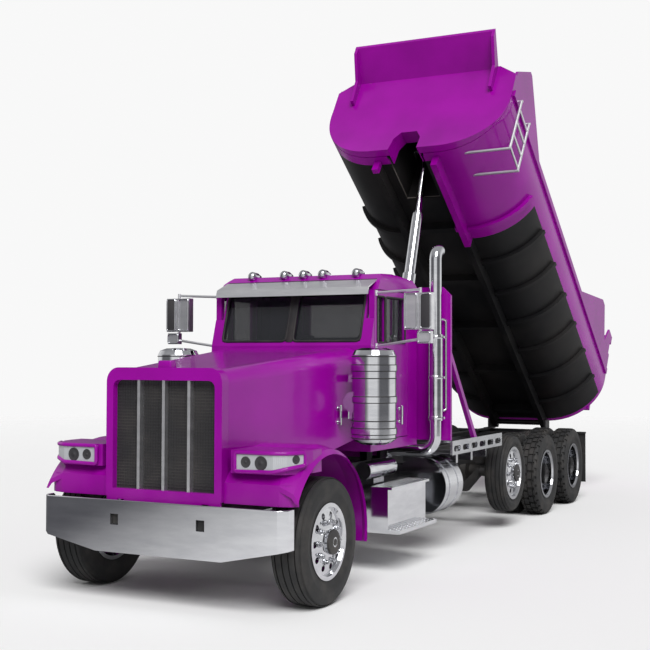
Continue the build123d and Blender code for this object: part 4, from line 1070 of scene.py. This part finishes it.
seatShape = {
    "back": 2.39808, "floor": 1.15, "places": (("left", 0.48), ("right", -0.48)),
    "voxel": 0.009, "swell": 0.016, "pressure": 4, "frames": 15,
    "channel": 0.11, "seam": 0.86, "seamDeep": 0.009,   # pitch of the sewn channels, where a seam starts
}


def addSeat(label, y):
    # foam blocks swollen by a cloth run, then sewn in channels
    s = seatShape
    x, z = s["back"], s["floor"]
    cushion = box((x - 0.19, y - 0.23, z + 0.340), (x + 0.27, y + 0.23, z + 0.440))
    rest = box((x - 0.185, y - 0.22, z + 0.46), (x - 0.095, y + 0.22, z + 1.16))
    pickFaces(rest, lambda spot, normal: normal.z > 0.9)
    editOn(rest)
    bpy.ops.transform.translate(value=(-0.065, 0, 0))
    editOff()
    for obj, part in ((cushion, "cushion"), (rest, "backrest")):
        rounded(obj, 0.03, 3)
        remesh = obj.modifiers.new("remesh", "REMESH")
        remesh.mode = "VOXEL"
        remesh.voxel_size = s["voxel"]
        applyAll(obj)
        before = [vertex.co.copy() for vertex in obj.data.vertices]
        cloth = obj.modifiers.new("foam", "CLOTH")
        cloth.settings.quality = 4
        cloth.settings.use_pressure = True
        cloth.settings.uniform_pressure_force = s["pressure"]
        cloth.settings.effector_weights.gravity = 0
        for step in range(1, s["frames"] + 1):
            bpy.context.scene.frame_set(step)
        applyAll(obj)
        for vertex, start in zip(obj.data.vertices, before):
            move = vertex.co - start
            if move.length > s["swell"]:
                vertex.co = start + move.normalized() * s["swell"]
        bpy.context.scene.frame_set(1)
        # sewn channels across the face
        for vertex in obj.data.vertices:
            along = (vertex.co.y - y) if part == "cushion" else (vertex.co.z - z)
            seam = abs(((along + 5.0) / s["channel"]) % 1 - 0.5) * 2
            if seam > s["seam"]:
                drop = (seam - s["seam"]) / (1 - s["seam"]) * s["seamDeep"]
                if part == "cushion" and vertex.co.z > z + 0.42:
                    vertex.co.z -= drop
                elif part == "backrest" and vertex.co.x > x - 0.15:
                    vertex.co.x -= drop
        handIn(obj, f"seat_{part}_{label}", "chassis", "seat", 60, ("seats",))
    stand = box((x - 0.13, y - 0.16, z + 0.060), (x + 0.19, y + 0.16, z + 0.331), 0.012)
    handIn(stand, f"seat_stand_{label}", "chassis", "trim", 40, ("seats",))


gaugeShape = {"x": 3.01, "y": (0.30, 0.42, 0.54, 0.66), "z": 2.04, "radius": 0.045}


def addGauges():
    # round dials facing the driver
    made = []
    r = gaugeShape["radius"]
    profile = [(-0.012, r), (0.008, r), (0.010, r - 0.004), (0.006, r - 0.008), (0.004, r - 0.010),
               (0.004, 0.0004)]
    for y in gaugeShape["y"]:
        made.append(turned(profile, 28, (gaugeShape["x"], y, gaugeShape["z"]), (-0.98, 0, 0.2)))
    handIn(joined(made), "dash_gauges", "chassis", "bright", 40)


addLampRims()
addLampBowls()
addMirrorGlass()
addMirrorShells()
addCleanerBeads()
addRoofLampFaces()
addTowPockets()
addBumperLip()
addBulkheadScoop()
addStepGrips()
addStackClamps()
for label, y in seatShape["places"]:
    addSeat(label, y)
addGauges()
print("lamps, mirrors, steps, stack and seats made")


def addStage():
    clearPick()
    bpy.ops.mesh.primitive_circle_add(vertices=96, radius=light["floorRadius"], fill_type="NGON",
                                      location=(0, 0, cadLow.z - 0.002))
    floor = bpy.context.object
    floor.name = "studio_floor"
    f = Finish("pale_floor")
    reach = f.node("ShaderNodeVectorMath", {"operation": "LENGTH"}, {0: f.place}, out=1)
    away = f.ramp(reach, *light["floorFade"])
    glossy = f.node("ShaderNodeLightPath", out="Is Glossy Ray")
    streak = f.ramp(f.axis(1) + f.axis(0) * light["floorLean"], *light["floorEdge"])
    mirrored = f.blend(streak, light["floorDark"], light["floorTint"])
    f.set(Base_Color=f.blend(glossy, light["floorTint"], mirrored), Roughness=0.9, Specular_IOR_Level=0.1)
    clear = f.node("ShaderNodeBsdfTransparent")
    both = f.node("ShaderNodeMixShader", {}, {0: away, 1: Wire(f, f.shader.outputs[0]), 2: clear})
    f.tree.links.new(both.socket, f.tree.nodes["Material Output"].inputs["Surface"])
    floor.data.materials.append(f.material)

    # white backdrop for the camera, the same with dark flags for metal and gloss
    world = bpy.data.worlds.new("studio")
    bpy.context.scene.world = world
    w = Finish("studio", world)
    seenBy = ("Is Camera Ray", "Is Transmission Ray", "Is Glossy Ray")
    direct, through, glossy = [w.node("ShaderNodeLightPath", out=kind) for kind in seenBy]
    straight = w.most(direct, through)
    turn = w.node("ShaderNodeMath", {"operation": "ARCTAN2"}, {0: w.axis(1), 1: w.axis(0)})
    wave = w.plain("SINE", turn * light["flagTurns"] + light["flagStart"])
    flags = w.ramp(wave, *light["flagEdge"])
    around = w.blend(flags, light["flag"], light["backdrop"])
    around = w.blend(w.ramp(w.height(), *light["overheadFrom"]), around, light["overhead"])
    seen = w.node("ShaderNodeBackground", {}, {"Color": w.blend(straight, around, light["backdrop"])})
    w.feed(w.shader.inputs["Color"], (1, 1, 1, 1))
    w.feed(w.shader.inputs["Strength"], light["sky"])
    lit = Wire(w, w.shader.outputs[0])
    both = w.node("ShaderNodeMixShader", {}, {0: w.most(straight, glossy), 1: lit, 2: seen})
    w.tree.links.new(both.socket, w.tree.nodes["World Output"].inputs["Surface"])

    bpy.ops.object.light_add(type="SUN", location=(0, 0, 12))
    sun = bpy.context.object
    sun.data.energy = light["key"]
    sun.data.angle = math.radians(light["keyWidth"])
    sun.rotation_mode = "QUATERNION"
    sun.rotation_quaternion = Vector(light["keyAim"]).to_track_quat("-Z", "Y")


def addCamera():
    yaw, rise = math.radians(camera["yaw"]), math.radians(camera["rise"])
    aim = Vector((-math.cos(yaw) * math.cos(rise), -math.sin(yaw) * math.cos(rise), math.sin(rise)))
    bpy.ops.object.camera_add(location=camera["place"])
    eye = bpy.context.object
    eye.rotation_mode = "QUATERNION"
    turn = aim.to_track_quat("-Z", "Y").to_matrix() @ Matrix.Rotation(math.radians(camera["roll"]), 3, "Z")
    eye.rotation_quaternion = turn.to_quaternion()
    eye.data.sensor_width = 36
    eye.data.lens = camera["lens"]
    eye.data.clip_end = 200
    bpy.context.scene.camera = eye


addStage()
addCamera()
bpy.context.scene.view_settings.view_transform = "Standard"
print("stage and camera set")
